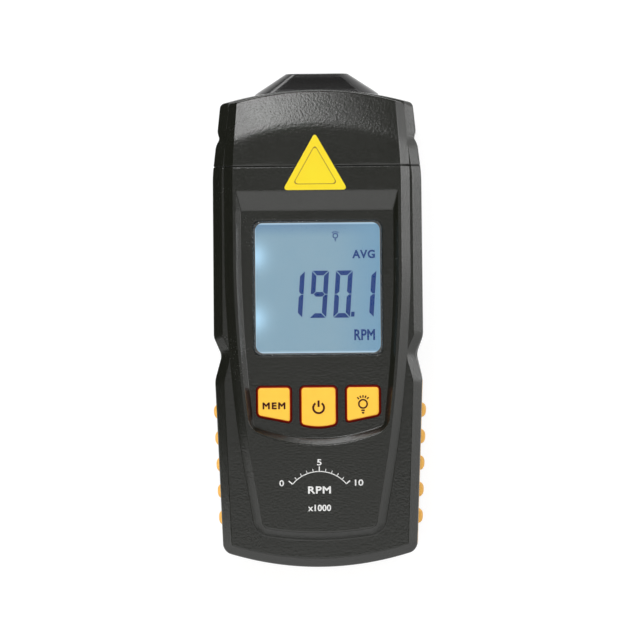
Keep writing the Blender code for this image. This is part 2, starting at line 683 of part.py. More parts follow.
def rear_shell(form, opening):
    whole = block((-LENGTH, -LENGTH, -DEPTH), (LENGTH, LENGTH, DEPTH))
    shell = placed("rear_shell", whole, ((0.040, 0.040, 0.038), 0.38))
    boolean(shell, form, "INTERSECT")
    rings = ((BACK_INSET / 3, FLOOR_THICKNESS), (GAP, FLOOR_THICKNESS * 2), (GAP, SPLIT_Z + GAP))
    hollow = [(body_ring(WALL + d, WALL + d, REAR_NOTCH_DEPTH), z) for d, z in rings]
    cavity = placed("rear_hollow", loft(hollow))
    wall_half = BAY_HALF + BAY_WALL
    foot_half = TONGUE_HALF + FOOT_WIDTH
    foot_z = DOOR_THICKNESS + GAP + ROOF_THICKNESS
    bay_block = block(
        (-wall_half, BAY_LOW_Y - BAY_WALL, -DEPTH),
        (wall_half, BAY_HIGH_Y + BAY_WALL, ROOF_Z + ROOF_THICKNESS),
    )
    foot = block((-foot_half, -LENGTH, -DEPTH), (foot_half, DOOR_TOP_Y + FOOT_WIDTH, foot_z))
    cut(cavity, placed("bay_walls", bay_block), placed("bay_foot", foot))
    cut(shell, cavity)
    join(shell, parting_lip())
    bay = block((-BAY_HALF, BAY_LOW_Y, DOOR_THICKNESS), (BAY_HALF, BAY_HIGH_Y, ROOF_Z))
    mouth = block(
        (-DOOR_HALF - GAP, -LENGTH, -DEPTH), (DOOR_HALF + GAP, DOOR_TOP_Y + GAP, DOOR_THICKNESS + GAP)
    )
    tongue_z = DOOR_THICKNESS - TONGUE_THICKNESS
    grooves = block(
        (-TONGUE_HALF - GAP, -LENGTH, tongue_z - GAP),
        (TONGUE_HALF + GAP, DOOR_TOP_Y + GAP, DOOR_THICKNESS + GAP),
    )
    cut(shell, placed("bay", bay), placed("door_mouth", mouth), placed("door_grooves", grooves), opening)
    for name, x, y in screw_places():
        boss = round_bar(BOSS_RADIUS, FLOOR_THICKNESS / 2, SPLIT_Z, x, y)
        hole = round_bar(SCREW_RADIUS + GAP, -GAP, SPLIT_Z + GAP, x, y)
        seat = round_bar(SCREW_HEAD_RADIUS + GAP, -GAP, SCREW_SEAT, x, y)
        join(shell, placed(f"rear_boss_{name}", boss))
        cut(shell, placed(f"rear_hole_{name}", hole), placed(f"rear_seat_{name}", seat))
    holder_y = HEAD_Y - NECK_STATION - FLANGE_DEPTH - GAP - HOLDER_LENGTH / 2
    rib_top = OPTIC_Z - HOLDER_HEIGHT / 2 - GAP
    for word, side in (("left", -1), ("right", 1)):
        x = side * HOLDER_HALF * 0.7
        rib = block(
            (x - WALL / 2, holder_y - HOLDER_LENGTH / 3, FLOOR_THICKNESS / 2),
            (x + WALL / 2, holder_y + HOLDER_LENGTH / 3, rib_top),
        )
        join(shell, placed(f"holder_rib_{word}", rib))
    groove = [(body_ring(-WALL, -WALL, REAR_NOTCH_DEPTH), z) for z in (GRIP_LOW - GAP, GRIP_HIGH + GAP)]
    depth = GRIP_THICKNESS - GRIP_PROUD + GAP
    core = [(body_ring(depth, depth, REAR_NOTCH_DEPTH), z) for z in (0.0, SPLIT_Z)]
    above = block((-LENGTH, HIP_Y + GAP, 0.0), (LENGTH, LENGTH, DEPTH))
    channel = placed("grip_channel", loft(groove))
    cut(channel, placed("grip_channel_core", loft(core)), placed("grip_channel_end", above))
    return cut(shell, channel)


def battery_door(form):
    door_block = block((-DOOR_HALF, -LENGTH, -DEPTH), (DOOR_HALF, DOOR_TOP_Y, DOOR_THICKNESS))
    door = placed("battery_door", door_block, ((0.040, 0.040, 0.038), 0.40))
    tongue = block(
        (-TONGUE_HALF, -LENGTH, DOOR_THICKNESS - TONGUE_THICKNESS), (TONGUE_HALF, DOOR_TOP_Y, DOOR_THICKNESS)
    )
    join(door, placed("door_tongues", tongue))
    boolean(door, form, "INTERSECT")
    for k in range(THUMB_GROOVES):
        y = DOOR_TOP_Y - THUMB_PITCH * (k + 2)
        half = THUMB_WIDTH / 2
        groove = block((-half, y - THUMB_PITCH / 4, -DEPTH), (half, y + THUMB_PITCH / 4, THUMB_DEPTH))
        cut(door, placed(f"thumb_groove_{k + 1}", groove))
    return door


def grip_band():
    """Soft band that runs down both flanks and round the tail, with five bumps a side."""
    outer = [(body_ring(-GRIP_PROUD, -GRIP_PROUD, REAR_NOTCH_DEPTH), z) for z in (GRIP_LOW, GRIP_HIGH)]
    band = placed("grip_band", loft(outer), ((0.90, 0.35, 0.05), 0.55))
    taper = TAIL_TAPER * 7 / 8 / (HIP_Y - TAIL_Y - TAIL_RISE)
    for k in range(BUMP_COUNT):
        y = HIP_Y - BUMP_DROP - BUMP_PITCH * k
        flank = HALF_WIDTH - TAIL_TAPER / 8 - taper * (HIP_Y - y)
        for word, side in (("left", -1), ("right", 1)):
            corners = rectangle(2 * BUMP_PROUD, BUMP_LENGTH / 2, BUMP_PROUD * 0.8)
            corners = moved(corners, side * (flank - BUMP_PROUD), y)
            rings = [
                (inset(corners, BUMP_PROUD * 0.6), GRIP_LOW + GAP),
                (corners, GRIP_LOW + BUMP_PROUD),
                (corners, GRIP_HIGH - BUMP_PROUD),
                (inset(corners, BUMP_PROUD * 0.6), GRIP_HIGH - GAP),
            ]
            join(band, placed(f"grip_bump_{word}_{k + 1}", loft(rings)))
    depth = GRIP_THICKNESS - GRIP_PROUD
    core = [(body_ring(depth, depth, REAR_NOTCH_DEPTH), z) for z in (0.0, SPLIT_Z)]
    above = block((-LENGTH, HIP_Y, 0.0), (LENGTH, LENGTH, DEPTH))
    return cut(band, placed("grip_core", loft(core)), placed("grip_end", above))


# Optics in the nose


def nose_hood():
    """The tapered snout, with a flange behind the shells' end wall and a tunnel for the optics."""
    flange = tuple(size + FLANGE_RIM for size in NOSE_NECK)
    flare = NOSE_SHARES[0] * NOSE_LENGTH - NOSE_FLARE
    sections = [(-NECK_STATION - FLANGE_DEPTH, *flange), (-NECK_STATION, *flange)]
    sections += [(-NECK_STATION, *NOSE_NECK), (flare, *NOSE_NECK)]
    stations = [share * NOSE_LENGTH for share in NOSE_SHARES]
    sections += zip(stations, NOSE_WIDTHS, NOSE_HEIGHTS)
    rings = [(rectangle(x, y, NOSE_RADIUS * x / NOSE_NECK[0]), station) for station, x, y in sections]
    hood = placed("nose_hood", loft(rings), ((0.035, 0.035, 0.034), 0.40))
    lay_along_beam(hood, 0.0, HEAD_Y, OPTIC_Z)
    seat = NOSE_LENGTH - APERTURE_DEPTH
    rear = tuple(size - NOSE_WALL for size in NOSE_NECK)
    tunnel = [
        (rectangle(*rear, NOSE_RADIUS / 2), -NECK_STATION - 2 * FLANGE_DEPTH),
        (rectangle(*rear, NOSE_RADIUS / 2), -NECK_STATION),
        (rectangle(*APERTURE, NOSE_RADIUS / 2), seat),
        (rectangle(*APERTURE, NOSE_RADIUS / 2), seat + GAP),
    ]
    rebate = tuple(size + APERTURE_REBATE for size in APERTURE)
    pocket = plate(rectangle(*rebate, NOSE_RADIUS / 2), seat, seat + 2 * APERTURE_DEPTH)
    for name, shape in (("nose_tunnel", loft(tunnel)), ("nose_pocket", pocket)):
        cut(hood, lay_along_beam(placed(name, shape), 0.0, HEAD_Y, OPTIC_Z))
    return hood


def lens_window():
    size = tuple(size + APERTURE_REBATE - GAP for size in APERTURE)
    shape = plate(rectangle(*size, NOSE_RADIUS / 2 - GAP), 0.0, LENS_THICKNESS)
    window = placed("lens_window", shape, ((0.02, 0.005, 0.005), 0.08))
    return lay_along_beam(window, 0.0, NOSE_Y - APERTURE_DEPTH + GAP, OPTIC_Z)


def optics():
    front_y = HEAD_Y - NECK_STATION - FLANGE_DEPTH - GAP
    back_y = front_y - HOLDER_LENGTH
    half_height = HOLDER_HEIGHT / 2
    shape = block(
        (-HOLDER_HALF, back_y, OPTIC_Z - half_height), (HOLDER_HALF, front_y, OPTIC_Z + half_height)
    )
    holder = placed("optics_holder", shape, ((0.03, 0.03, 0.03), 0.6))
    stop = HOLDER_LENGTH - RECEIVER_DEPTH
    for name, x, radius, low in (
        ("laser_bore", LASER_X, LASER_RADIUS + GAP, -WALL),
        ("receiver_bore", RECEIVER_X, RECEIVER_RADIUS + GAP, stop),
        ("diode_bore", RECEIVER_X, DIODE_RADIUS + GAP, -WALL),
    ):
        bore = placed(name, round_bar(radius, low, HOLDER_LENGTH + WALL))
        cut(holder, lay_along_beam(bore, x, back_y, OPTIC_Z))
    seat = LASER_LENGTH - 2 * LENS_THICKNESS
    profile = [
        (0.0, seat),
        (LASER_LENS_RADIUS + GAP, seat),
        (LASER_LENS_RADIUS + GAP, LASER_LENGTH),
        (LASER_RADIUS, LASER_LENGTH),
        (LASER_RADIUS, 0.0),
        (0.0, 0.0),
    ]
    laser = turned("laser_module", profile, ((0.60, 0.42, 0.16), 0.3, 1.0))
    lay_along_beam(laser, LASER_X, back_y, OPTIC_Z)
    for name, radius, x, y in (
        ("laser_lens", LASER_LENS_RADIUS, LASER_X, back_y + seat + GAP),
        ("receiver_lens", RECEIVER_RADIUS, RECEIVER_X, back_y + stop + GAP),
    ):
        profile = [(0.0, LENS_THICKNESS + LENS_BULGE), (radius * 0.6, LENS_THICKNESS + LENS_BULGE * 0.6)]
        profile += [(radius, LENS_THICKNESS), (radius, 0.0), (0.0, 0.0)]
        lens = turned(name, profile, ((0.75, 0.80, 0.82), 0.05))
        lay_along_beam(lens, x, y, OPTIC_Z)
    top = stop - GAP
    profile = [(0.0, top), (DIODE_RADIUS * 0.7, top - DIODE_RADIUS * 0.25)]
    profile += [(DIODE_RADIUS, top - DIODE_RADIUS * 0.8), (DIODE_RADIUS, top - DIODE_LENGTH)]
    profile += [(0.0, top - DIODE_LENGTH)]
    diode = turned("photodiode", profile, ((0.10, 0.05, 0.12), 0.15))
    lay_along_beam(diode, RECEIVER_X, back_y, OPTIC_Z)


# Display and board


def display():
    low, high = WINDOW_SEAT_Z + GAP, WINDOW_SEAT_Z + GAP + WINDOW_THICKNESS
    lens = plate(window_ring(WINDOW_REBATE - GAP), low, high)
    placed("display_window", lens, ((0.55, 0.70, 0.78), 0.05))
    glass = plate(window_ring(GLASS_MARGIN), GLASS_LOW_Z, GLASS_TOP_Z)
    placed("lcd_glass", glass, ((0.25, 0.42, 0.52), 0.1))
    middle = (WINDOW_LOW_Y + WINDOW_HIGH_Y) / 2
    guide_half = WINDOW_LENGTH / 2 + GLASS_MARGIN - STRIP_WIDTH - 2 * GAP
    edge = WINDOW_HALF + GUIDE_MARGIN
    guide = block((-edge, middle - guide_half, GUIDE_LOW_Z), (edge, middle + guide_half, GUIDE_TOP_Z))
    placed("light_guide", guide, ((0.85, 0.90, 0.95), 0.3))
    strip_half = WINDOW_HALF * STRIP_SHARE
    for word, low in (
        ("lower", middle - guide_half - GAP - STRIP_WIDTH),
        ("upper", middle + guide_half + GAP),
    ):
        strip = block((-strip_half, low, GUIDE_LOW_Z), (strip_half, low + STRIP_WIDTH, GUIDE_TOP_Z))
        placed(f"zebra_strip_{word}", strip, ((0.30, 0.28, 0.30), 0.7))
    outer = plate(window_ring(GLASS_MARGIN + GAP + FRAME_WALL), GUIDE_LOW_Z, CEILING_Z - GAP)
    frame = placed("lcd_frame", outer, ((0.80, 0.80, 0.78), 0.5))
    pocket = plate(window_ring(GLASS_MARGIN + GAP), GUIDE_LOW_Z - GAP, GLASS_TOP_Z + GAP)
    opening = plate(window_ring(GAP), GUIDE_LOW_Z - GAP, CEILING_Z)
    cut(frame, placed("glass_pocket", pocket), placed("frame_opening", opening))
    width, length, height = LED_SIZE
    led_x = -edge - GAP
    top = GUIDE_LOW_Z + height
    for k, share in enumerate(LED_PLACES):
        y = middle + guide_half * (2 * share - 1)
        low, high = y - length / 2, y + length / 2
        led = block((led_x - width, low, GUIDE_LOW_Z), (led_x, high, top))
        placed(f"backlight_led_{k + 1}", led, ((0.9, 0.9, 0.8), 0.4))
        notch = block((led_x - width - GAP, low - GAP, BOARD_TOP_Z), (led_x, high + GAP, top + GAP))
        cut(frame, placed(f"led_notch_{k + 1}", notch))


def board_part(name, size, place, finish):
    half_x, half_y, radius, height = size
    corners = rectangle(half_x, half_y, radius, place[0], BOARD_HIGH_Y - place[1])
    placed(name, plate(corners, UNDER_BOARD_Z - height, UNDER_BOARD_Z), finish)


def board():
    half = (BOARD_HIGH_Y - BOARD_LOW_Y) / 2
    corners = rectangle(BOARD_HALF, half, BOARD_RADIUS, y=BOARD_LOW_Y + half)
    pcb = placed("main_board", plate(corners, BOARD_LOW_Z, BOARD_TOP_Z), ((0.02, 0.16, 0.06), 0.5))
    for name, x, y in board_screw_places():
        low, high = BOARD_LOW_Z - GAP, BOARD_TOP_Z + GAP
        hole = round_bar(BOARD_SCREW_RADIUS + GAP, low, high, x, y, SMALL_SIDES)
        cut(pcb, placed(f"board_hole_{name}", hole))
        head_low = UNDER_BOARD_Z - BOARD_SCREW_HEAD_HEIGHT
        tip = UNDER_BOARD_Z + BOARD_SCREW_LENGTH
        profile = [(0.0, tip), (BOARD_SCREW_RADIUS, tip - BOARD_SCREW_RADIUS)]
        profile += [(BOARD_SCREW_RADIUS, UNDER_BOARD_Z), (BOARD_SCREW_HEAD, UNDER_BOARD_Z)]
        profile += [(BOARD_SCREW_HEAD, head_low), (0.0, head_low)]
        screw = turned(f"board_screw_{name}", profile, ((0.6, 0.6, 0.6), 0.3, 1.0), SMALL_SIDES)
        screw.location = (x, y, 0.0)
    board_part("controller_chip", CHIP, CHIP_PLACE, ((0.02, 0.02, 0.02), 0.5))
    board_part("crystal", CRYSTAL, CRYSTAL_PLACE, ((0.6, 0.6, 0.6), 0.3, 1.0))
    radius, height = CAPACITOR
    x, y = CAPACITOR_PLACE[0], BOARD_HIGH_Y - CAPACITOR_PLACE[1]
    capacitor = round_bar(radius, UNDER_BOARD_Z - height, UNDER_BOARD_Z, x, y)
    placed("capacitor", capacitor, ((0.05, 0.06, 0.12), 0.4))


def keys():
    for name, corners, (x, y) in key_rings():
        top = PANEL_Z + KEY_PROUD
        rings = [
            (inset(corners, -KEY_FLANGE), FLANGE_LOW_Z),
            (inset(corners, -KEY_FLANGE), FLANGE_LOW_Z + FLANGE_THICKNESS),
            (corners, FLANGE_LOW_Z + FLANGE_THICKNESS),
            (corners, top - GAP),
            (inset(corners, GAP), top),
        ]
        key = placed(name, loft(rings), ((0.90, 0.42, 0.06), 0.45))
        stem = round_bar(STEM_RADIUS, STEM_LOW_Z, FLANGE_LOW_Z + GAP, x, y, SMALL_SIDES)
        join(key, placed(f"{name}_stem", stem))
        word = name.removeprefix("key_")
        half = SWITCH_SIZE / 2
        shape = block((x - half, y - half, BOARD_TOP_Z + GAP), (x + half, y + half, SWITCH_TOP_Z))
        body = placed(f"switch_{word}", shape, ((0.05, 0.05, 0.05), 0.5))
        plunger_low = PLUNGER_TOP_Z - PLUNGER_LENGTH
        well_low = plunger_low - KEY_TRAVEL - GAP
        well = round_bar(STEM_RADIUS + GAP, well_low, PLUNGER_TOP_Z, x, y, SMALL_SIDES)
        cut(body, placed(f"switch_well_{word}", well))
        plunger = round_bar(STEM_RADIUS, plunger_low, PLUNGER_TOP_Z, x, y, SMALL_SIDES)
        placed(f"plunger_{word}", plunger, ((0.7, 0.7, 0.7), 0.4))


# Cells, contacts and screws


def cell_bay():
    pitch = 2 * CELL_RADIUS + CELL_SPACE
    contact_half = BAY_HALF - CELL_SPACE
    low_z = CELL_Z - CELL_RADIUS * 0.8
    high_z = CELL_Z + CELL_RADIUS * 0.9
    for word, y in (("tail", BAY_LOW_Y + GAP), ("head", BAY_HIGH_Y - GAP - CONTACT_THICKNESS)):
        contact = block((-contact_half, y, low_z), (contact_half, y + CONTACT_THICKNESS, high_z))
        placed(f"contact_{word}", contact, ((0.70, 0.68, 0.62), 0.3, 1.0))
    for k in range(CELL_COUNT):
        x = (k - (CELL_COUNT - 1) / 2) * pitch
        can = CELL_LENGTH - NUB_LENGTH
        profile = [(0.0, CELL_LENGTH), (NUB_RADIUS, CELL_LENGTH), (NUB_RADIUS, can)]
        profile += [(CELL_RADIUS, can), (CELL_RADIUS, 0.0), (0.0, 0.0)]
        cell = turned(f"cell_{k + 1}", profile, ((0.10, 0.11, 0.13), 0.35))
        spring_y = BAY_LOW_Y + 2 * GAP + CONTACT_THICKNESS
        spring_at_tail = k % 2 == 0
        cell.location = (x, spring_y + SPRING_LENGTH + GAP, CELL_Z)
        cell.rotation_euler = (-math.pi / 2, 0.0, 0.0)
        if not spring_at_tail:
            cell.location.y = spring_y + CELL_LENGTH
            cell.rotation_euler = (math.pi / 2, 0.0, 0.0)
            spring_y += CELL_LENGTH + GAP
        contact_spring(f"spring_{k + 1}", x, spring_y, spring_at_tail)


def contact_spring(name, x, y, wide_at_tail):
    """A conical spring along Y, closed at both ends, wide where it stands on its contact."""
    curve = bpy.data.curves.new(name, "CURVE")
    curve.dimensions = "3D"
    curve.bevel_depth = SPRING_WIRE
    curve.bevel_resolution = 1
    curve.use_fill_caps = True
    count = int(SPRING_TURNS * TURN_POINTS) + 1
    spline = curve.splines.new("POLY")
    spline.points.add(count - 1)
    for k, point in enumerate(spline.points):
        share = k / (count - 1)
        radius = CELL_RADIUS * (SPRING_SHARES[0] * (1 - share) + SPRING_SHARES[1] * share)
        angle = math.tau * SPRING_TURNS * share
        along = SPRING_WIRE + (SPRING_LENGTH - 2 * SPRING_WIRE) * share
        point.co = (radius * math.cos(angle), along, radius * math.sin(angle), 1.0)
    spring = bpy.data.objects.new(name, curve)
    curve.materials.append(material(name, (0.72, 0.72, 0.70), 0.25, 1.0))
    COLLECTION.objects.link(spring)
    spring.location = (x, y, CELL_Z)
    if not wide_at_tail:
        spring.location.y = y + SPRING_LENGTH
        spring.rotation_euler = (0.0, 0.0, math.pi)


def case_screws():
    for name, x, y in screw_places():
        under = SCREW_SEAT - GAP
        tip = under + SCREW_LENGTH
        profile = [(0.0, tip), (SCREW_RADIUS, tip - SCREW_RADIUS), (SCREW_RADIUS, under)]
        profile += [(SCREW_HEAD_RADIUS, under), (SCREW_HEAD_RADIUS, under - SCREW_HEAD_HEIGHT * 0.6)]
        profile += [(SCREW_HEAD_RADIUS * 0.7, under - SCREW_HEAD_HEIGHT), (0.0, under - SCREW_HEAD_HEIGHT)]
        screw = turned(f"case_screw_{name}", profile, ((0.55, 0.55, 0.55), 0.3, 1.0), SMALL_SIDES)
        screw.location = (x, y, 0.0)


def pointer_label():
    low = DEPTH - LABEL_POCKET + LABEL_CLEARANCE
    shape = plate(label_ring(0.0), low, low + LABEL_THICKNESS)
    placed("pointer_label", shape, ((0.90, 0.72, 0.03), 0.4))


def shade():
    for obj in COLLECTION.objects:
        if obj.type == "MESH":
            obj.data.shade_smooth()
            obj.data.set_sharp_from_angle(angle=math.radians(35))


start_scene()
opening_cutter = nose_opening()
front = front_form(opening_cutter)
rear = rear_form("rear_form")
front_shell(front)
head_cap(front)
rear_shell(rear, opening_cutter)
battery_door(rear)
grip_band()
nose_hood()
lens_window()
optics()
display()
board()
keys()
cell_bay()
case_screws()
pointer_label()
shade()
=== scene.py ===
"""Looks of the laser tachometer: fine surfaces, finishes, print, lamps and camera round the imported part.

Every length is in metres, in the part's own frame: +X to the right of the display, +Y along the
beam, +Z out of the face.
"""

import math

import bmesh
import bpy
import numpy as np
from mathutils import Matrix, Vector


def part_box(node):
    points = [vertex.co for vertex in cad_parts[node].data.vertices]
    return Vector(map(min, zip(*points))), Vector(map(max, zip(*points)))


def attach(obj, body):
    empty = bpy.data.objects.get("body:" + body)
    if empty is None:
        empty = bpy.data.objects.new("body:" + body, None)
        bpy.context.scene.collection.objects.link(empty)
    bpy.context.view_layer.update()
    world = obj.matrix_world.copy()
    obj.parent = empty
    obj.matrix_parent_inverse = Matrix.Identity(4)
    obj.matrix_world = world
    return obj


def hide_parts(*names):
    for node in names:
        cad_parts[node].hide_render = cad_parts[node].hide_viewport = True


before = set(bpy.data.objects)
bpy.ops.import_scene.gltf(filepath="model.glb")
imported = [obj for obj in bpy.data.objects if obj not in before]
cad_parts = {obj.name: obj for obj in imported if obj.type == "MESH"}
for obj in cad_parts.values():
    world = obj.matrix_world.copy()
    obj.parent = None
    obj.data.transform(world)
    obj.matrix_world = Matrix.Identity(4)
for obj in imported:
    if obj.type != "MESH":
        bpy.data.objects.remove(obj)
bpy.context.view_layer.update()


# Front of the housing
# The front shell and the head cap are two injection mouldings in black plastic, with a fine
# spark-eroded grain. Both are cut from one form here and meet at a straight seam: a bevelled
# shoulder, a narrow ledge, a raised shield and a sunk panel for the display and the keys.

shell_low, shell_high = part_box("front_shell")
cap_low, cap_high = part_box("head_cap")
window_low, window_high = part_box("display_window")
hip_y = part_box("grip_band")[1].y
key_top_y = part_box("key_memory")[1].y - 0.0008  # above it, the key's hidden flange
tail_y, head_y = shell_low.y, cap_high.y
seam_y = cap_low.y - 0.00015
half_width = shell_high.x
parting_z, face_z = shell_low.z, shell_high.z
ledge_z = face_z - 0.0023
panel_z = face_z - 0.0016
ceiling_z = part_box("lcd_frame")[1].z + 0.0003

FLANK_STEPS = 260  # points along each flank of an outline
END_STEPS = 120  # points along each end
TAIL_RISE = 0.0042
HEAD_RISE = 0.0037
SHOULDER_WIDTH = 0.0024
SHOULDER_DEPTH = 0.0025
HOUSING_WALL = 0.0020
LEAST_REACH = 0.00025  # of a rounding, however far its corner is drawn in
SEAM_HALF = 0.00008  # half the gap between front shell and head cap

# Flank of the front mouldings, from the tail to the head: x, y and the reach of each rounding
front_flank = [
    (half_width - 0.0020, tail_y + TAIL_RISE, 0.0020),
    (half_width - 0.00025, hip_y + 0.0001, 0.0010),
    (half_width - 0.00207, hip_y + 0.0066, 0.0010),
    (half_width, hip_y + 0.0114, 0.0007),
    (half_width - 0.0001, seam_y - 0.0020, 0.0020),
    (half_width - 0.0010, seam_y + 0.0055, 0.0008),
    (half_width - 0.00195, seam_y + 0.0073, 0.0003),
    (half_width - 0.00145, seam_y + 0.0092, 0.0004),
    (half_width - 0.0022, head_y - HEAD_RISE, 0.0010),
]


def left_of(runs):
    """Unit vectors square to the runs, to their left."""
    runs = runs / np.linalg.norm(runs, axis=1, keepdims=True)
    return np.column_stack([-runs[:, 1], runs[:, 0]])


def mitred(side, distance, tail_slope, head_slope):
    """Corners moved inwards by a distance: each goes along (n1 + n2) / (1 + n1.n2) of the two normals."""
    spots = np.array([corner[:2] for corner in side])
    normals = left_of(np.vstack([[1.0, tail_slope], np.diff(spots, axis=0), [-1.0, head_slope]]))
    before, after = normals[:-1], normals[1:]
    cosine = (before * after).sum(1, keepdims=True)
    spots += (before + after) * distance / (1 + cosine)
    half_turn = np.arctan2(before[:, 0] * after[:, 1] - before[:, 1] * after[:, 0], cosine[:, 0]) / 2
    reach = np.array([corner[2] for corner in side]) - distance * np.tan(half_turn)
    return np.column_stack([spots, np.maximum(reach, LEAST_REACH)])


def softened(path, corners, stops, counts):
    """Closed path at equal steps between its stops. Near each corner it is the cubic
    A(1-t)^3 + 3P t(1-t)^2 + 3Q t^2(1-t) + B t^3, from A, one reach before the corner, to B, one
    behind it, with both handles 0.55 of the way to the corner."""
    closed = np.vstack([path, path[:1]])
    along = np.concatenate([[0.0], np.cumsum(np.linalg.norm(np.diff(closed, axis=0), axis=1))])
    total = along[-1]
    ends = [along[k] for k in stops[1:]] + [total]
    spans = [np.linspace(along[k], end, n, endpoint=False) for k, end, n in zip(stops, ends, counts)]
    at = np.concatenate(spans)

    def on_path(distance):
        distance = np.mod(distance, total)
        return np.stack([np.interp(distance, along, closed[:, axis]) for axis in (0, 1)], -1)

    points = on_path(at)
    for index, reach in corners:
        offset = np.mod(at - along[index] + total / 2, total) - total / 2
        near = np.abs(offset) < reach
        t = ((offset[near] / reach + 1) / 2)[:, None]
        corner, first, last = path[index], on_path(along[index] - reach), on_path(along[index] + reach)
        handle_in, handle_out = first + 0.55 * (corner - first), last + 0.55 * (corner - last)
        curve = first * (1 - t) ** 3 + 3 * handle_in * t * (1 - t) ** 2
        points[near] = curve + 3 * handle_out * t**2 * (1 - t) + last * t**3
    return points


def bowed(side, tail, head, distance=0.0, head_distance=None):
    """Outline with mirrored flanks and ends that are parabolas, y = middle -+ bow (x / half)^2, drawn in
    by a distance along its flanks and tail, and by head_distance at its head."""
    head_distance = distance if head_distance is None else head_distance
    side = [list(corner) for corner in side]
    slopes = [2 * abs(end - side[k][1]) / side[k][0] for k, end in ((0, tail), (-1, head))]
    side[-1][1] += distance - head_distance
    side = mitred(side, distance, *slopes)
    tail, head = tail + distance, head - head_distance
    share = np.linspace(1, -1, 51)[1:-1]
    head_end = [side[-1, 0] * share, head + (side[-1, 1] - head) * share**2]
    tail_end = [-side[0, 0] * share, tail + (side[0, 1] - tail) * share**2]
    left = side[::-1, :2] * [-1, 1]
    path = np.vstack([side[:, :2], np.column_stack(head_end), left, np.column_stack(tail_end)])
    count = len(side)
    mirror = 2 * count + len(share) - 1
    corners = [(k, side[k, 2]) for k in range(count)]
    corners += [(mirror - k, side[k, 2]) for k in range(count)]
    stops = [0, count - 1, count + len(share), mirror]
    return softened(path, corners, stops, (FLANK_STEPS, END_STEPS, FLANK_STEPS, END_STEPS))


def at_height(outline, z):
    return np.column_stack([outline, np.full(len(outline), z)])


def creased(creases, steps=5):
    """Rows of a closed skin through creases of (ring, reach, extra rows). A crease C is rounded by the
    curve A(1-t)^2 + 2C t(1-t) + B t^2, whose ends lie one reach from C on the two faces that meet there,
    with a holding row beside each end. Extra rows divide the face behind the crease evenly."""
    t = np.linspace(0, 1, steps + 1)[:, None, None]
    groups = []
    for k, (ring, reach, _) in enumerate(creases):
        if not reach:
            groups.append(ring[None])
            continue
        arms = []
        for other in (creases[k - 1][0], creases[(k + 1) % len(creases)][0]):
            arm = other - ring
            length = np.maximum(np.linalg.norm(arm, axis=1, keepdims=True), 1e-9)
            arms.append((arm * np.minimum(reach / length, 0.4), arm * np.minimum(1.2 * reach / length, 0.48)))
        (near_in, far_in), (near_out, far_out) = arms
        curve = (ring + near_in) * (1 - t) ** 2 + 2 * ring * t * (1 - t) + (ring + near_out) * t**2
        groups.append(np.concatenate([(ring + far_in)[None], curve, (ring + far_out)[None]]))
    rows = []
    for k, group in enumerate(groups):
        rows.append(group)
        extra = creases[k][2]
        if extra:
            share = (np.arange(1, extra + 1) / (extra + 1))[:, None, None]
            rows.append(group[-1] * (1 - share) + groups[(k + 1) % len(groups)][0] * share)
    return np.concatenate(rows)


def added(name, data):
    obj = bpy.data.objects.new(name, data)
    bpy.context.scene.collection.objects.link(obj)
    return obj


def skinned(name, rows, ring=False, capped=False):
    """Object whose quads join neighbouring points of a grid (rows, columns, 3). The columns always close;
    ring also closes the rows, and capped fills the first and the last row with one face each."""
    count, width = rows.shape[:2]
    grid = np.arange(count * width).reshape(count, width)
    if ring:
        grid = np.vstack([grid, grid[:1]])
    beside = np.roll(grid, -1, axis=1)
    faces = np.stack([grid[:-1], beside[:-1], beside[1:], grid[1:]], -1).reshape(-1, 4).tolist()
    if capped:
        faces += [list(range(width))[::-1], list(range((count - 1) * width, count * width))]
    mesh = bpy.data.meshes.new(name)
    mesh.from_pydata(rows.reshape(-1, 3).tolist(), [], faces)
    return added(name, mesh)


def prism(name, outline, low, high):
    """Upright solid of an outline, between two heights."""
    return skinned(name, np.stack([at_height(outline, z) for z in (low, high)]), capped=True)


def block(name, low, high):
    """Box between two corners, for cutting and joining."""
    (x0, y0, z0), (x1, y1, z1) = low, high
    ring = np.array([(x0, y0), (x1, y0), (x1, y1), (x0, y1)])
    return prism(name, ring, z0, z1)


def combined(obj, others, operation):
    """The object with others cut away, joined on or kept in common, worked out at once."""
    for other in others:
        modifier = obj.modifiers.new(other.name, "BOOLEAN")
        modifier.operation = operation
        modifier.solver = "EXACT"
        modifier.object = other
    evaluated = obj.evaluated_get(bpy.context.evaluated_depsgraph_get())
    mesh = bpy.data.meshes.new_from_object(evaluated)
    obj.modifiers.clear()
    obj.data = mesh
    for other in others:
        bpy.data.objects.remove(other)
    return obj


def shaded(obj, angle=38.0):
    obj.data.shade_smooth()
    obj.data.set_sharp_from_angle(angle=math.radians(angle))
    return obj


def finished(obj, finish, body, slot, *nodes):
    """Gives the piece its material, the nodes that it stands for, and the body it rides on. slot is not used.
    """
    obj.data.materials.clear()
    obj.data.materials.append(finish.material)
    if nodes:
        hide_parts(*nodes)
    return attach(obj, body)


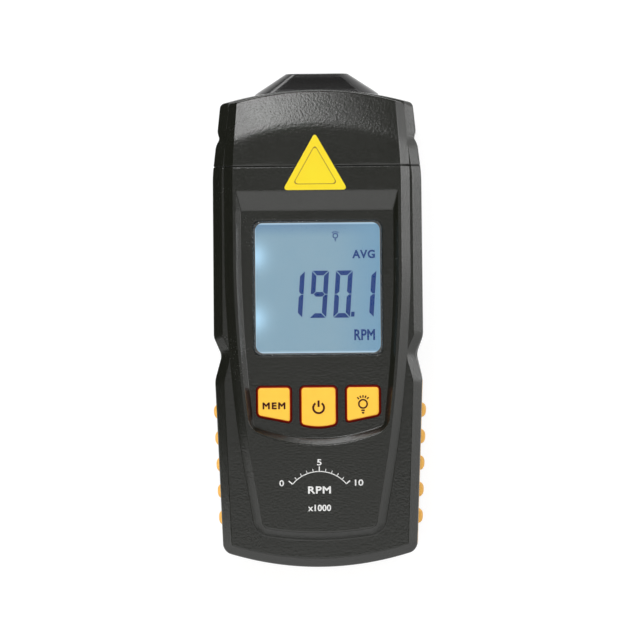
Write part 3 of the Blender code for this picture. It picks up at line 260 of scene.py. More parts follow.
def parted(obj, name, y, side):
    """The part of a form on one side of the plane y, its cut end filled and its edge rounded: points near
    the plane sink along their normals by depth (1 - distance / reach)^2."""
    reach, depth = 0.00030, 0.00014
    bm = bmesh.new()
    bm.from_mesh(obj.data)
    for offset in (0.0, 0.00008, 0.00018, reach):
        bmesh.ops.bisect_plane(
            bm,
            geom=[*bm.verts, *bm.edges, *bm.faces],
            plane_co=(0.0, y + side * offset, 0.0),
            plane_no=(0.0, side, 0.0),
            clear_inner=offset == 0.0,
        )
    bm.normal_update()
    normals = {v: v.normal.copy() for v in bm.verts if abs(v.co.y - y) < reach}
    for vertex, normal in normals.items():
        normal.y = 0.0
        vertex.co -= normal * depth * (1 - abs(vertex.co.y - y) / reach) ** 2
    bmesh.ops.holes_fill(bm, edges=[edge for edge in bm.edges if edge.is_boundary])
    mesh = bpy.data.meshes.new(name)
    bm.to_mesh(mesh)
    bm.free()
    return added(name, mesh)


def bent(rows):
    """Lets the face fall towards the nose by slope * (t + sqrt(t^2 + soft^2)) / 2, where t is the distance
    past an arc across the head. The fall fades out down the wall, which stays upright."""
    start, rise, slope, soft, fade = 0.0092, 0.0066, 0.235, 0.0016, 0.0080
    x, y, z = rows[..., 0], rows[..., 1], rows[..., 2]
    past = y - (head_y - start - rise * (x / half_width) ** 2)
    fall = slope * (past + np.sqrt(past**2 + soft**2)) / 2
    share = np.clip((z - ledge_z + fade) / fade, 0.0, 1.0)
    moved = rows.copy()
    moved[..., 2] = z - fall * share
    return moved


def body_outline(flank, distance, head_distance=None):
    return bowed(flank, tail_y, head_y, distance, head_distance)


shield_half = half_width - SHOULDER_WIDTH - 0.0007
shield_flank = [
    (shield_half, hip_y + 0.0045, 0.0260),
    (shield_half, seam_y, 0.0040),
    (half_width - 0.0045, head_y - HEAD_RISE, 0.0008),
]
SHIELD_BEVEL = 0.0023


def shield_outline(distance):
    low = tail_y - 0.1 * distance
    flank = [(half_width - 0.0106, low + 0.0088, 0.0032), *shield_flank]
    return bowed(flank, low + 0.0071, head_y - 0.0002, distance, distance * 0.06)


def recess_outline(bevel, slope):
    tail = key_top_y - 0.0102 - bevel * 0.6
    flank = [
        (half_width - 0.0104 + bevel * 0.9, tail, 0.0009 + bevel * 1.5),
        (half_width - 0.0075 + bevel, hip_y + 0.0143, 0.0170),
        (half_width - 0.0075 + bevel, window_high.y + 0.00295 + slope, 0.0006),
    ]
    return bowed(flank, tail - 0.0032 - bevel * 0.82, window_high.y + 0.00295 + slope)


REBATE = 0.00075  # width of the rebate round the opening, in which the window lies
WINDOW_BOW = 0.00045  # how far the window's ends bow out
rebate_z = window_low.z - 0.0003


def window_outline(margin):
    """The display opening in the panel, drawn out by a margin."""
    half, low, high = window_high.x - REBATE + margin, window_low.y - margin, window_high.y + margin
    corners = [(half, low + WINDOW_BOW, 0.0020), (half, high - WINDOW_BOW, 0.0020)]
    return bowed(corners, corners[0][1], corners[1][1])


# Outline, height, reach of the rounding and extra rows behind it, from the parting line over the face
front_creases = [
    (body_outline(front_flank, 0.0), parting_z, 0.0, 7),
    (body_outline(front_flank, 0.0), ledge_z - SHOULDER_DEPTH, 0.0004, 0),
    (body_outline(front_flank, SHOULDER_WIDTH, SHOULDER_WIDTH * 0.06), ledge_z, 0.00022, 0),
    (shield_outline(0.0), ledge_z, 0.00022, 0),
    (shield_outline(SHIELD_BEVEL), face_z, 0.00035, 26),
    (recess_outline(0.0013, 0.0050), face_z, 0.00030, 0),
    (recess_outline(0.0, 0.0), panel_z, 0.00030, 0),
    (window_outline(REBATE), panel_z, 0.00025, 0),
    (window_outline(REBATE), rebate_z, 0.0, 0),
    (window_outline(0.0), rebate_z, 0.0, 0),
    (window_outline(0.0), ceiling_z, 0.0, 0),
    (body_outline(front_flank, HOUSING_WALL + SHOULDER_WIDTH / 2, HOUSING_WALL), ceiling_z, 0.0, 0),
    (body_outline(front_flank, HOUSING_WALL), parting_z, 0.0, 0),
]
front_rows = creased([(at_height(outline, z), *rounding) for outline, z, *rounding in front_creases])
front_form = skinned("front_form", bent(front_rows), ring=True)


def dense_polygon(corners, count):
    """Closed outline through (x, y, reach) corners, at equal steps."""
    path = np.array([corner[:2] for corner in corners])
    reaches = [(k, corner[2]) for k, corner in enumerate(corners)]
    return softened(path, reaches, [0], [count])


def drawn_in(outline, distance):
    """Outline moved inwards along its normals."""
    return outline + left_of(np.roll(outline, -1, axis=0) - np.roll(outline, 1, axis=0)) * distance


KEY_SPREAD, KEY_HOLE = 0.0002, 0.00032  # margins of a key and of its hole round the key's outline
KEY_SHIFT = {"memory": 0.0001, "power": -0.00005, "light": -0.00025}
KEY_STEPS = 120


def key_corners(word):
    """Corners of a key, from the width and height of its node less the hidden flange."""
    low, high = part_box(f"key_{word}")
    left, right, top = low.x + 0.0008 + KEY_SHIFT[word], high.x - 0.0008 + KEY_SHIFT[word], high.y - 0.0006
    if word == "power":
        share = np.linspace(-1, 1, 9)
        middle, half = (left + right) / 2, (right - left) / 2
        bow = [(middle + half * s, top - 0.0108 + 0.00075 * s * s, 0.0) for s in share]
        bow[0] = (*bow[0][:2], 0.0009)
        bow[-1] = (*bow[-1][:2], 0.0009)
        return [*bow, (right, top, 0.0011), (left, top, 0.0011)]
    slant = {"memory": (0.0018, 0.0), "light": (0.0, 0.0018)}[word]
    low_y = top - 0.0095
    return [
        (left, low_y + slant[0], 0.0010),
        (right, low_y + slant[1], 0.0010),
        (right, top, 0.0011),
        (left, top, 0.0011),
    ]


def key_outline(word, margin):
    return drawn_in(dense_polygon(key_corners(word), KEY_STEPS), -margin)


holes = []
for word in KEY_SHIFT:
    holes.append(prism(f"key_hole_{word}", key_outline(word, KEY_HOLE), ceiling_z - 0.001, face_z))
combined(front_form, holes, "DIFFERENCE")


class Tone:
    """A shader socket. Sums on tones add the Math nodes that work them out."""

    def __init__(self, tree, socket):
        self.tree, self.socket = tree, socket

    def worked(self, operation, *others):
        node = self.tree.nodes.new("ShaderNodeMath")
        node.operation = operation
        for place, value in zip(node.inputs, (self, *others)):
            if isinstance(value, Tone):
                self.tree.links.new(value.socket, place)
            else:
                place.default_value = value
        return Tone(self.tree, node.outputs[0])

    def __add__(self, other):
        return self.worked("ADD", other)

    def __sub__(self, other):
        return self.worked("SUBTRACT", other)

    def __mul__(self, other):
        return self.worked("MULTIPLY", other)

    def __truediv__(self, other):
        return self.worked("DIVIDE", other)

    def __pow__(self, other):
        return self.worked("POWER", other)

    __radd__ = __add__

    def above(self, edge, soft):
        """0 below the edge, 1 above it, with a smooth step as wide as soft."""
        node = self.tree.nodes.new("ShaderNodeMapRange")
        node.interpolation_type = "SMOOTHSTEP"
        node.inputs["From Min"].default_value = edge - soft / 2
        node.inputs["From Max"].default_value = edge + soft / 2
        self.tree.links.new(self.socket, node.inputs["Value"])
        return Tone(self.tree, node.outputs["Result"])


class Finish:
    """A material. add() makes a node from its type, its settings and the values or links of its sockets."""

    def __init__(self, name, colour, roughness, metallic=0.0, **more):
        self.material = bpy.data.materials.new(name)
        self.material.use_nodes = True
        self.tree = self.material.node_tree
        self.shader = self.tree.nodes["Principled BSDF"]
        self.put("Base Color", colour)
        self.put("Roughness", roughness)
        self.put("Metallic", metallic)
        for socket, value in more.items():
            self.put(socket.replace("_", " "), value)
        self.place = self.add("ShaderNodeTexCoord", {}, {}, "Object")

    def fill(self, socket, value):
        if isinstance(value, Tone):
            self.tree.links.new(value.socket, socket)
        elif isinstance(value, tuple) and len(value) == 3 and socket.type == "RGBA":
            socket.default_value = (*value, 1.0)
        else:
            socket.default_value = value

    def put(self, socket, value):
        self.fill(self.shader.inputs[socket], value)

    def add(self, kind, settings, sockets, output=0):
        node = self.tree.nodes.new(kind)
        for name, value in settings.items():
            setattr(node, name, value)
        for name, value in sockets.items():
            self.fill(node.inputs[name], value)
        return Tone(self.tree, node.outputs[output])

    def noise(self, size, detail=2.0, rough=0.5):
        """Cloudy value from 0 to 1 whose blobs are about as wide as size."""
        sockets = {"Vector": self.place, "Scale": 1 / size, "Detail": detail, "Roughness": rough}
        return self.add("ShaderNodeTexNoise", {}, sockets)

    def mixed(self, share, first, second):
        """Colour between two colours."""
        return self.add("ShaderNodeMix", {"data_type": "RGBA"}, {0: share, 6: first, 7: second}, 2)

    def axes(self):
        """The point's x, y and z."""
        return [self.add("ShaderNodeSeparateXYZ", {}, {0: self.place}, axis) for axis in (0, 1, 2)]

    def relief(self, height, depth):
        """Bump of that depth, in metres, from a value between 0 and 1."""
        sockets = {"Height": height, "Strength": 1.0, "Distance": depth}
        self.put("Normal", self.add("ShaderNodeBump", {}, sockets))


def paint(red, green, blue):
    """Linear colour of an sRGB one, each channel from 0 to 255."""
    return tuple(((c / 255 + 0.055) / 1.055) ** 2.4 if c > 10 else c / 3295 for c in (red, green, blue))


def moulding(name, colour, gloss, grain, depth):
    """Plastic from a spark-eroded mould: pits about as wide as grain, with faint cloudy sheen."""
    finish = Finish(name, colour, gloss, IOR=1.6)
    pits = finish.noise(grain, 1.5)
    cloud = finish.noise(0.012)
    finish.put("Roughness", gloss + (cloud - 0.5) * 0.10 + (pits - 0.5) * 0.10)
    lighter = tuple(channel * 1.5 + 0.002 for channel in colour)
    finish.put("Base Color", finish.mixed((pits - 0.35) * 1.4, colour, lighter))
    finish.relief(pits, depth)
    return finish


BLACK = (0.0105, 0.0112, 0.0080)
front_black = moulding("front_moulding_black", BLACK, 0.24, 0.00050, 0.00005)
halves = [("front_shell_moulding", seam_y - SEAM_HALF, -1), ("head_cap_moulding", seam_y + SEAM_HALF, 1)]
for name, y, side in halves:
    moulded = shaded(parted(front_form, name, y, side))
    finished(moulded, front_black, "housing", "housing", name.removesuffix("_moulding"))
bpy.data.objects.remove(front_form)


# Keys
# Three keys in translucent orange silicone rubber, each with a legend in dark red ink. Their sides carry
# painted shade, deep red where they stand in the holes of the panel, their tops are painted lighter, and a
# faint painted glow lies on them; each rides with its plunger.

KEY_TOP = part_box("key_memory")[1].z
KEY_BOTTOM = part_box("key_memory")[0].z
FLANGE = (ceiling_z - 0.0014, ceiling_z - 0.0003)
# Side of a key from the panel up: how far it is drawn in, and how far it lies below the top
KEY_SIDE = [(0.0, 0.0011), (0.00024, 0.0007), (0.0004, 0.00042)]
KEY_SIDE += [(0.0005, 0.0002), (0.0006, 0.00008), (0.0008, 0.0)]
KEY_DISH = 0.00006  # how far the middle of a key's top is sunk


def plate(name, outline, low, high, edge):
    """Closed plate: a wall, an edge rounded by the quarter circle inset = edge (1 - cos a), height =
    high - edge (1 - sin a), and a flat top."""
    rows = [at_height(outline, low)]
    for a in np.linspace(0, math.pi / 2, 4):
        rows.append(at_height(drawn_in(outline, edge * (1 - math.cos(a))), high - edge * (1 - math.sin(a))))
    rim, middle = rows[-1], rows[-1].mean(0)
    rows += [middle + (rim - middle) * rho for rho in (0.93, 0.8, 0.6, 0.4, 0.2)]
    return skinned(name, np.stack(rows), capped=True)


def ink_outline(points, width):
    """Closed outline of a stroke: the path moved half its width to either side."""
    points = np.asarray(points, float)
    side = left_of(np.gradient(points, axis=0)) * width / 2
    return np.vstack([points - side, (points + side)[::-1]])


def printed(name, shapes, low, thickness=0.00003):
    """Flat shapes of ink, each closed outline a thin prism on the surface at height low."""
    vertices, faces = [], []
    for shape in shapes:
        count, first = len(shape), len(vertices)
        bottom, top = range(first, first + count), range(first + count, first + 2 * count)
        vertices += at_height(shape, low).tolist() + at_height(shape, low + thickness).tolist()
        faces += [list(bottom)[::-1], list(top)]
        faces += [[bottom[k - 1], bottom[k], top[k], top[k - 1]] for k in range(count)]
    mesh = bpy.data.meshes.new(name)
    mesh.from_pydata(vertices, [], faces)
    bm = bmesh.new()
    bm.from_mesh(mesh)
    bmesh.ops.recalc_face_normals(bm, faces=bm.faces)
    bm.to_mesh(mesh)
    bm.free()
    return added(name, mesh)


def lettered(name, text, left, right, low_y, high_y, z, bold=0.0, spacing=1.0, thickness=0.00003):
    """Plain sans-serif lettering as thin ink that fills a box on the surface at height z. Its outlines are
    moved out by bold along (n1 + n2) / (1 + n1.n2) of the two sides that meet at each point."""
    curve = bpy.data.curves.new(name, "FONT")
    curve.body = text
    curve.space_character = spacing
    curve.extrude = 0.01
    curve.resolution_u = 6
    source = added(name, curve)
    mesh = bpy.data.meshes.new_from_object(source.evaluated_get(bpy.context.evaluated_depsgraph_get()))
    bpy.data.objects.remove(source)
    points = np.zeros(len(mesh.vertices) * 3)
    mesh.vertices.foreach_get("co", points)
    points = points.reshape(-1, 3)
    low, high = points.min(0), points.max(0)
    share = (points - low) / (high - low)
    points = np.array([left + bold, low_y + bold, z])
    points = points + share * [right - left - 2 * bold, high_y - low_y - 2 * bold, thickness]
    mesh.vertices.foreach_set("co", points.ravel())
    bm = bmesh.new()
    bm.from_mesh(mesh)
    bmesh.ops.remove_doubles(bm, verts=bm.verts, dist=1e-7)
    bmesh.ops.recalc_face_normals(bm, faces=bm.faces)
    shifts = {}
    for vertex in bm.verts:
        sides = [face.normal for face in vertex.link_faces if abs(face.normal.z) < 0.5]
        if len(sides) > 1:
            shifts[vertex] = (sides[0] + sides[-1]) * bold / max(1 + sides[0].dot(sides[-1]), 0.3)
    for vertex, shift in shifts.items():
        vertex.co += shift
    bm.to_mesh(mesh)
    bm.free()
    return added(name, mesh)


def arc(centre, radius, start, end, count=33):
    """Points of a circular arc between two angles in degrees."""
    angles = np.radians(np.linspace(start, end, count))
    return np.array(centre) + radius * np.column_stack([np.cos(angles), np.sin(angles)])


def circle(centre, radius):
    return arc(centre, radius, 0, 352.5, 48)


def lamp_symbol(centre, radius, foot, stroke):
    """A light bulb: a ring, a socket that ends foot below its centre, and five rays above."""
    x, y = centre
    bulb = [ink_outline(arc((x, y), radius, -90, 269), stroke)]
    for half, share in ((0.42 * radius, 0.45), (0.3 * radius, 0.95)):
        low = y - radius - (foot - radius) * share
        bulb.append(ink_outline(np.array([(x - half, low), (x + half, low)]), 0.3 * (foot - radius)))
    for tilt in (-40, -20, 0, 20, 40):
        out = np.array([math.sin(math.radians(tilt)), math.cos(math.radians(tilt))])
        ray = np.array([centre + out * radius * 1.5, centre + out * radius * 2.1])
        bulb.append(ink_outline(ray, 0.85 * stroke))
    return bulb


# The keys' faint emission is a painted glow; the rubber is no lamp.
key_orange = Finish("key_silicone_orange", paint(253, 202, 62), 0.42, Emission_Strength=0.12)
key_height = key_orange.axes()[2]
# Masks for painted light: the sides are painted in shade, darker towards the foot of the hole, and the top is
# painted lighter.
painted_side_shade = key_height.above(KEY_TOP - 0.00042, 0.0003)
lit_top = key_height.above(KEY_TOP - 0.00016, 0.00014)
cloudy = key_orange.noise(0.0030)
orange = key_orange.mixed(cloudy, paint(255, 206, 62), paint(250, 196, 54))
# Painted shade on the sides: deep red low in the hole, brighter red higher up.
flank = key_orange.mixed(painted_side_shade, paint(112, 12, 2), paint(214, 64, 4))
key_orange.put("Base Color", key_orange.mixed(lit_top, flank, orange))
# Painted glow: dark red on the sides, pale orange on the top.
key_orange.put("Emission Color", key_orange.mixed(lit_top, paint(150, 10, 0), paint(255, 196, 90)))
key_orange.relief(key_orange.noise(0.0005), 0.000008)
legend_ink = Finish("key_legend_ink", paint(66, 12, 12), 0.6, IOR=1.3)
legend_ink.put("Base Color", legend_ink.mixed(legend_ink.noise(0.0004), paint(60, 10, 12), paint(74, 16, 14)))
legend_ink.put("Roughness", 0.55 + legend_ink.noise(0.001) * 0.1)
for word in KEY_SHIFT:
    skirt = key_outline(word, KEY_SPREAD)
    rows = [at_height(key_outline(word, 0.0008), z) for z in FLANGE] + [at_height(skirt, FLANGE[1])]
    rows += [at_height(drawn_in(skirt, inset), KEY_TOP - drop) for inset, drop in KEY_SIDE]
    rim, middle = rows[-1], rows[-1].mean(0)
    for rho in (0.9, 0.7, 0.45, 0.2):
        rows.append(middle + (rim - middle) * rho - [0.0, 0.0, KEY_DISH * (1 - rho * rho)])
    key = skinned(f"{word}_key_cap", np.stack(rows), capped=True)
    low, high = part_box(f"plunger_{word}")
    foot = circle([(low.x + high.x) / 2, (low.y + high.y) / 2], 0.0015)
    stem = prism(f"{word}_key_stem", foot, KEY_BOTTOM, FLANGE[1])
    shaded(combined(key, [stem], "UNION"))
    finished(key, key_orange, f"{word}_key", "key", f"key_{word}")

MEMORY, POWER, LIGHT = (
    sum(corner.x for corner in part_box(f"key_{word}")) / 2 + shift for word, shift in KEY_SHIFT.items()
)
ink_z = KEY_TOP - 0.00004
LEGEND_THICKNESS, POWER_STROKE = 0.00006, 0.00052
power_centre = (POWER, key_top_y - 0.0054)
power_shapes = [ink_outline(arc(power_centre, 0.00142, 125, 415), POWER_STROKE)]
stem = [(power_centre[0], power_centre[1] + 0.0002), (power_centre[0], power_centre[1] + 0.0019)]
power_shapes.append(ink_outline(stem, POWER_STROKE))
bulb = lamp_symbol((LIGHT, key_top_y - 0.0045), 0.0011, 0.0024, 0.00040)
legends = {
    "memory": lettered(
        "memory_legend", "MEM", MEMORY - 0.0030, MEMORY + 0.0030, key_top_y - 0.0057, key_top_y - 0.0039,
        ink_z, bold=0.0001, spacing=1.25, thickness=LEGEND_THICKNESS,
    ),
    "power": printed("power_legend", power_shapes, ink_z, LEGEND_THICKNESS),
    "light": printed("light_legend", bulb, ink_z, LEGEND_THICKNESS),
}
for word, legend in legends.items():
    finished(legend, legend_ink, f"{word}_key", "chip")


# Display
# A clear window lies in a rebate of the panel. Below it a white frame holds the display glass, whose
# pale blue light comes from two lamps at its left edge, where it is brightest.

glass_low, glass_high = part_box("lcd_glass")
PANE_MARGIN = 0.00045  # how far the pane reaches past the opening, into the rebate
opening_left, opening_right = window_low.x + PANE_MARGIN, window_high.x - PANE_MARGIN
opening_low, opening_high = window_low.y + PANE_MARGIN, window_high.y - PANE_MARGIN


def dress(finish, *nodes):
    """Gives the finish to nodes whose own shape is shown."""
    for node in nodes:
        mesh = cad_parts[node].data
        mesh.materials.clear()
        mesh.materials.append(finish.material)


window_glass = Finish("window_clear", (1.0, 1.0, 1.0), 0.03, Transmission_Weight=1.0, IOR=1.28)
window_glass.relief(window_glass.noise(0.009), 0.000004)
pane = plate("display_window_pane", window_outline(PANE_MARGIN), window_low.z, window_high.z, 0.00012)
shaded(pane)
finished(pane, window_glass, "housing", "window", "display_window")

lcd = Finish("display_lit", (0.006, 0.009, 0.010), 0.35, Emission_Strength=0.90)
x, y, _ = lcd.axes()
from_left = (x - opening_left) / (opening_right - opening_left)
from_low = (y - opening_low) / (opening_high - opening_low)
glow = lcd.mixed(from_low.above(0.94, 0.14), paint(128, 164, 184), paint(96, 138, 172))
glow = lcd.mixed(from_left.above(0.80, 0.45), glow, paint(106, 153, 184))
glow = lcd.mixed((lcd.noise(0.006) - 0.4) * 0.5, glow, paint(118, 158, 182))
for spot_y in (0.745, 0.265):
    spread = ((from_left + 0.01) / 0.10) ** 2.0 + ((from_low - spot_y) / 0.10).worked("ABSOLUTE") ** 2.0
    glow = lcd.mixed((spread * -1.0).worked("EXPONENT"), glow, paint(182, 228, 255))
# Painted highlight: a pale rim round the lit area, where the window's edge catches light.
side_gap = (x - (opening_left + opening_right) / 2).worked("ABSOLUTE")
end_gap = (y - (opening_low + opening_high) / 2).worked("ABSOLUTE")
painted_highlight_x = side_gap.above((opening_right - opening_left) / 2 - 0.0004, 0.0003)
painted_highlight_y = end_gap.above((opening_high - opening_low) / 2 - 0.0004, 0.0003)
glow = lcd.mixed(painted_highlight_x.worked("MAXIMUM", painted_highlight_y) * 0.6, glow, paint(205, 232, 250))
lcd.put("Emission Color", glow)
dress(lcd, "lcd_glass")

segment_ink = Finish("display_segments", (0.004, 0.010, 0.05), 0.4, Emission_Strength=0.35, IOR=1.25)
tint = segment_ink.noise(0.004)
segment_ink.put("Emission Color", segment_ink.mixed(tint, paint(10, 70, 160), paint(24, 92, 190)))
DIGIT_WIDTH, DIGIT_HEIGHT = 0.00445, 0.0124
STROKE, NOTCH = 0.00122, 0.00008
SLANT = math.tan(math.radians(4.0))
LIT = {"0": "abcdef", "1": "bc", "9": "abcdfg"}


def digit(character, right, low):
    """Lit segments of a slanted seven-segment digit, each an outline whose ends are cut at 45 degrees."""
    w, h, s, g = DIGIT_WIDTH, DIGIT_HEIGHT, STROKE, NOTCH
    middle = h / 2
    upright = [(w, middle + g), (w, h - 2 * g), (w - s, h - s - 2 * g), (w - s, middle + s / 2 + g)]
    upright.append((w - s / 2, middle + g))
    flat = [(2 * g, h), (s + 2 * g, h - s), (w - s - 2 * g, h - s), (w - 2 * g, h)]
    across = [(s / 2 + 2 * g, middle), (s + 2 * g, middle - s / 2), (w - s - 2 * g, middle - s / 2)]
    across += [(w - s / 2 - 2 * g, middle), (w - s - 2 * g, middle + s / 2), (s + 2 * g, middle + s / 2)]
    shapes = {
        "a": flat,
        "b": upright,
        "c": [(u, h - v) for u, v in upright],
        "d": [(u, h - v) for u, v in flat],
        "e": [(w - u, h - v) for u, v in upright],
        "f": [(w - u, v) for u, v in upright],
        "g": across,
    }
    placed = [np.array(shapes[segment]) for segment in LIT[character]]
    return [points + [right - w, low] + np.outer(points[:, 1], [SLANT, 0.0]) for points in placed]


segments = []
for character, right in (("1", -0.00424), ("9", 0.00209), ("0", 0.00836), ("1", 0.01454)):
    segments += digit(character, right, 0.00065)
segments.append(np.array([(0.0086, 0.0009), (0.0095, 0.0009), (0.00958, 0.0022), (0.00868, 0.0022)]))
segments += lamp_symbol((0.00468, 0.0222), 0.0006, 0.0014, 0.00026)
segment_z = glass_high.z + 0.00003
display_ink = [
    printed("display_digits", segments, segment_z),
    lettered("display_average", "AVG", 0.00911, 0.01507, 0.01620, 0.01844, segment_z, 0.0001, 1.1),
    lettered("display_unit", "RPM", 0.00942, 0.01488, -0.00530, -0.00243, segment_z, 0.0001, 1.05),
]
for piece in display_ink:
    finished(piece, segment_ink, "housing", "lcd")

frame_white = moulding("display_frame_white", (0.62, 0.62, 0.60), 0.5, 0.0005, 0.00001)
dress(frame_white, "lcd_frame")
milky = Finish("light_guide_milky", (0.74, 0.80, 0.86), 0.25)
milky.relief(milky.noise(0.0008), 0.00001)
milky.put("Roughness", 0.2 + milky.noise(0.003) * 0.2)
dress(milky, "light_guide")
rubber = Finish("conducting_strip", (0.2, 0.18, 0.2), 0.7)
stripe = (rubber.axes()[0] * (math.tau / 0.0002)).worked("SINE").above(0.0, 0.6)
rubber.put("Base Color", rubber.mixed(stripe, (0.45, 0.30, 0.32), (0.02, 0.02, 0.02)))
dress(rubber, "zebra_strip_lower", "zebra_strip_upper")
lamp = Finish("backlight_lamp", (0.8, 0.8, 0.72), 0.3, Emission_Strength=0.8)
lamp.put("Emission Color", lamp.mixed(lamp.noise(0.001), paint(190, 226, 255), paint(230, 244, 255)))
dress(lamp, "backlight_led_1", "backlight_led_2")


# Label and print on the face
# A plain yellow film label, a pointer for the direction of the beam, is stuck across the seam. Below
# the keys a small plain scale is printed in white.

label_low, label_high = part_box("pointer_label")


def triangle(shrink):
    """The label's outline, drawn in by a distance."""
    base, top = label_low.y + shrink, label_high.y + 0.0005 - 2.05 * shrink
    half = (label_high.x - label_low.x) / 2 + 0.00015 - 1.72 * shrink
    middle = (label_low.x + label_high.x) / 2
    corners = [(middle - half, base, 0.0013), (middle + half, base, 0.0013), (middle, top, 0.0011)]
    return dense_polygon(corners, 240)


yellow = Finish("label_film_yellow", paint(250, 216, 36), 0.33)
wash = yellow.noise(0.010)
yellow.put("Base Color", yellow.mixed(wash, paint(255, 234, 24), paint(252, 218, 14)))
yellow.put("Roughness", 0.30 + yellow.noise(0.002) * 0.12)
yellow.relief(yellow.noise(0.0007), 0.000006)
label = shaded(plate("pointer_label_film", triangle(0.0), label_low.z, label_high.z, 0.00006))
finished(label, yellow, "housing", "label", "pointer_label")
keyline_ink = moulding("label_keyline_ink", paint(150, 118, 14), 0.4, 0.0003, 0.000003)
outer, inner = triangle(0.0015), triangle(0.00168)
low_inner, low_outer = (at_height(outline, label_high.z - 0.00002) for outline in (inner, outer))
rise = [0.0, 0.0, 0.00004]
keyline_rows = np.stack([low_outer, low_outer + rise, low_inner + rise, low_inner])
keyline = skinned("pointer_label_keyline", keyline_rows, ring=True)
finished(keyline, keyline_ink, "housing", "label")

white_ink = moulding("printed_scale_white", paint(232, 232, 230), 0.5, 0.0003, 0.000003)
print_z = face_z - 0.00001
scale_centre = np.array([0.0, -0.0488])
SCALE_RADIUS = 0.0092
ticks = [ink_outline(arc(scale_centre, SCALE_RADIUS, 40, 140, 41), 0.00022)]
for k, angle in enumerate(np.radians(np.linspace(140, 40, 11))):
    length = 0.0013 if k % 5 == 0 else 0.0008
    way = np.array([math.cos(angle), math.sin(angle)])
    stroke = np.array([scale_centre + way * SCALE_RADIUS, scale_centre + way * (SCALE_RADIUS + length)])
    ticks.append(ink_outline(stroke, 0.00030 if k % 5 == 0 else 0.00018))
printed_scale = [printed("printed_scale", ticks, print_z)]
figures = [("0", -0.0099, -0.0426, 0.0006), ("5", 0.0, -0.0372, 0.0006), ("10", 0.0104, -0.0426, 0.0011)]
for text, x, y, half in figures:
    box = (x - half, x + half, y - 0.0008, y + 0.0008)
    printed_scale.append(lettered(f"printed_figure_{text}", text, *box, print_z, 0.00004))
printed_scale += [
    lettered("printed_unit", "RPM", -0.0030, 0.0030, -0.0454, -0.0435, print_z, 0.00008, 1.1),
    lettered("printed_factor", "x1000", -0.0030, 0.0030, -0.0500, -0.0483, print_z, 0.00006, 1.05),
]
for piece in printed_scale:
    finished(piece, white_ink, "housing", "label")


# Back of the housing
# The rear shell is a black tub with a rounded edge, a little fuller at the thumb notches. It holds a
# bay for three cells, a groove on each side for the door's tongues, and a channel for the grip band.

door_low, door_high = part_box("battery_door")
band_low, band_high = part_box("grip_band")
optic_z = (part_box("lens_window")[0].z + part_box("lens_window")[1].z) / 2
contact_tail, contact_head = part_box("contact_tail"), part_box("contact_head")
GAP = 0.0003  # clearance between the rear shell and what it holds
BAY_WALL = 0.0016
bay_half = contact_head[1].x + 0.0004
bay_low, bay_high = contact_tail[0].y - GAP, contact_head[1].y + GAP
roof_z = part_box("cell_1")[1].z + GAP
split_z = parting_z - GAP
tongue_half, door_half = door_high.x, bay_half + GAP
BACK_INSET, BACK_RISE = 0.0030, 0.0048
rear_flank = [
    *front_flank[:2],
    (half_width - 0.0018, hip_y + 0.0066, 0.0012),
    (half_width, hip_y + 0.0114, 0.0010),
    *front_flank[4:],
]


def rear_skin(name, edge=0.0):
    """The back's outside: drawn in by inset (1 - sin a) at the height rise (1 - cos a)."""
    rows = []
    for angle in np.linspace(0, math.pi / 2, 15):
        inset = BACK_INSET * (1 - math.sin(angle))
        rows.append(at_height(body_outline(rear_flank, inset), BACK_RISE * (1 - math.cos(angle))))
    rows.append(at_height(body_outline(rear_flank, 0.0), split_z - edge))
    rows.append(at_height(body_outline(rear_flank, edge), split_z))
    return skinned(name, np.stack(rows), capped=True)


def tub(name, inset, low, high):
    """The back's outline, drawn in, as an upright solid."""
    return prism(name, body_outline(rear_flank, inset), low, high)


def door_space(name, half, low, margin, roof):
    """Block round the door, open past the tail: a margin wider and longer, and roof above it."""
    return block(name, (-half - margin, -1, low), (half + margin, door_high.y + margin, door_high.z + roof))


rear = rear_skin("rear_shell_moulding", 0.00015)
bay_walls = block(
    "bay_walls",
    (-bay_half - BAY_WALL, bay_low - BAY_WALL, -1),
    (bay_half + BAY_WALL, bay_high + BAY_WALL, roof_z + 0.0012),
)
foot = door_space("bay_foot", tongue_half, -1, BAY_WALL, 0.0015)
cavity = combined(tub("rear_cavity", 0.0023, 0.0022, split_z + 0.001), [bay_walls, foot], "DIFFERENCE")
bay = block("bay", (-bay_half, bay_low, door_high.z - 0.0001), (bay_half, bay_high, roof_z))
mouth = door_space("door_mouth", door_half, -1, GAP, GAP)
grooves = door_space("door_grooves", tongue_half, door_high.z - 0.0011, GAP, GAP)
nose_way = block("nose_way", (-0.0166, head_y - 0.012, optic_z - 0.0085), (0.0166, 1, split_z + 0.01))
combined(rear, [cavity, bay, mouth, grooves, nose_way], "DIFFERENCE")
screws = [f"case_screw_{end}_{side}" for end in ("tail", "head") for side in ("left", "right")]
places = []
for screw in screws:
    low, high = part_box(screw)
    places.append(((low.x + high.x) / 2, (low.y + high.y) / 2))
bosses = [prism(f"boss_{k}", circle(place, 0.0026), 0.001, split_z) for k, place in enumerate(places)]
combined(rear, bosses, "UNION")
seats = [prism(f"seat_{k}", circle(place, 0.0023), -1, 0.0040) for k, place in enumerate(places)]
seats += [prism(f"bore_{k}", circle(place, 0.00125), -1, 1) for k, place in enumerate(places)]
combined(rear, seats, "DIFFERENCE")
channel = tub("grip_channel", -0.002, band_low.z - GAP, band_high.z + GAP)
core = tub("grip_channel_core", 0.0012, -1, 1)
combined(channel, [core, block("grip_channel_end", (-1, hip_y + GAP, -1), (1, 1, 1))], "DIFFERENCE")
combined(rear, [channel], "DIFFERENCE")
rear_black = moulding("rear_moulding_black", BLACK, 0.28, 0.00050, 0.00005)
finished(shaded(rear), rear_black, "housing", "housing", "rear_shell")


# Battery door
# A flat moulding cut from the same form as the rear shell. It slides off over the tail on two
# tongues, and a thumb pushes it by four shallow grooves.

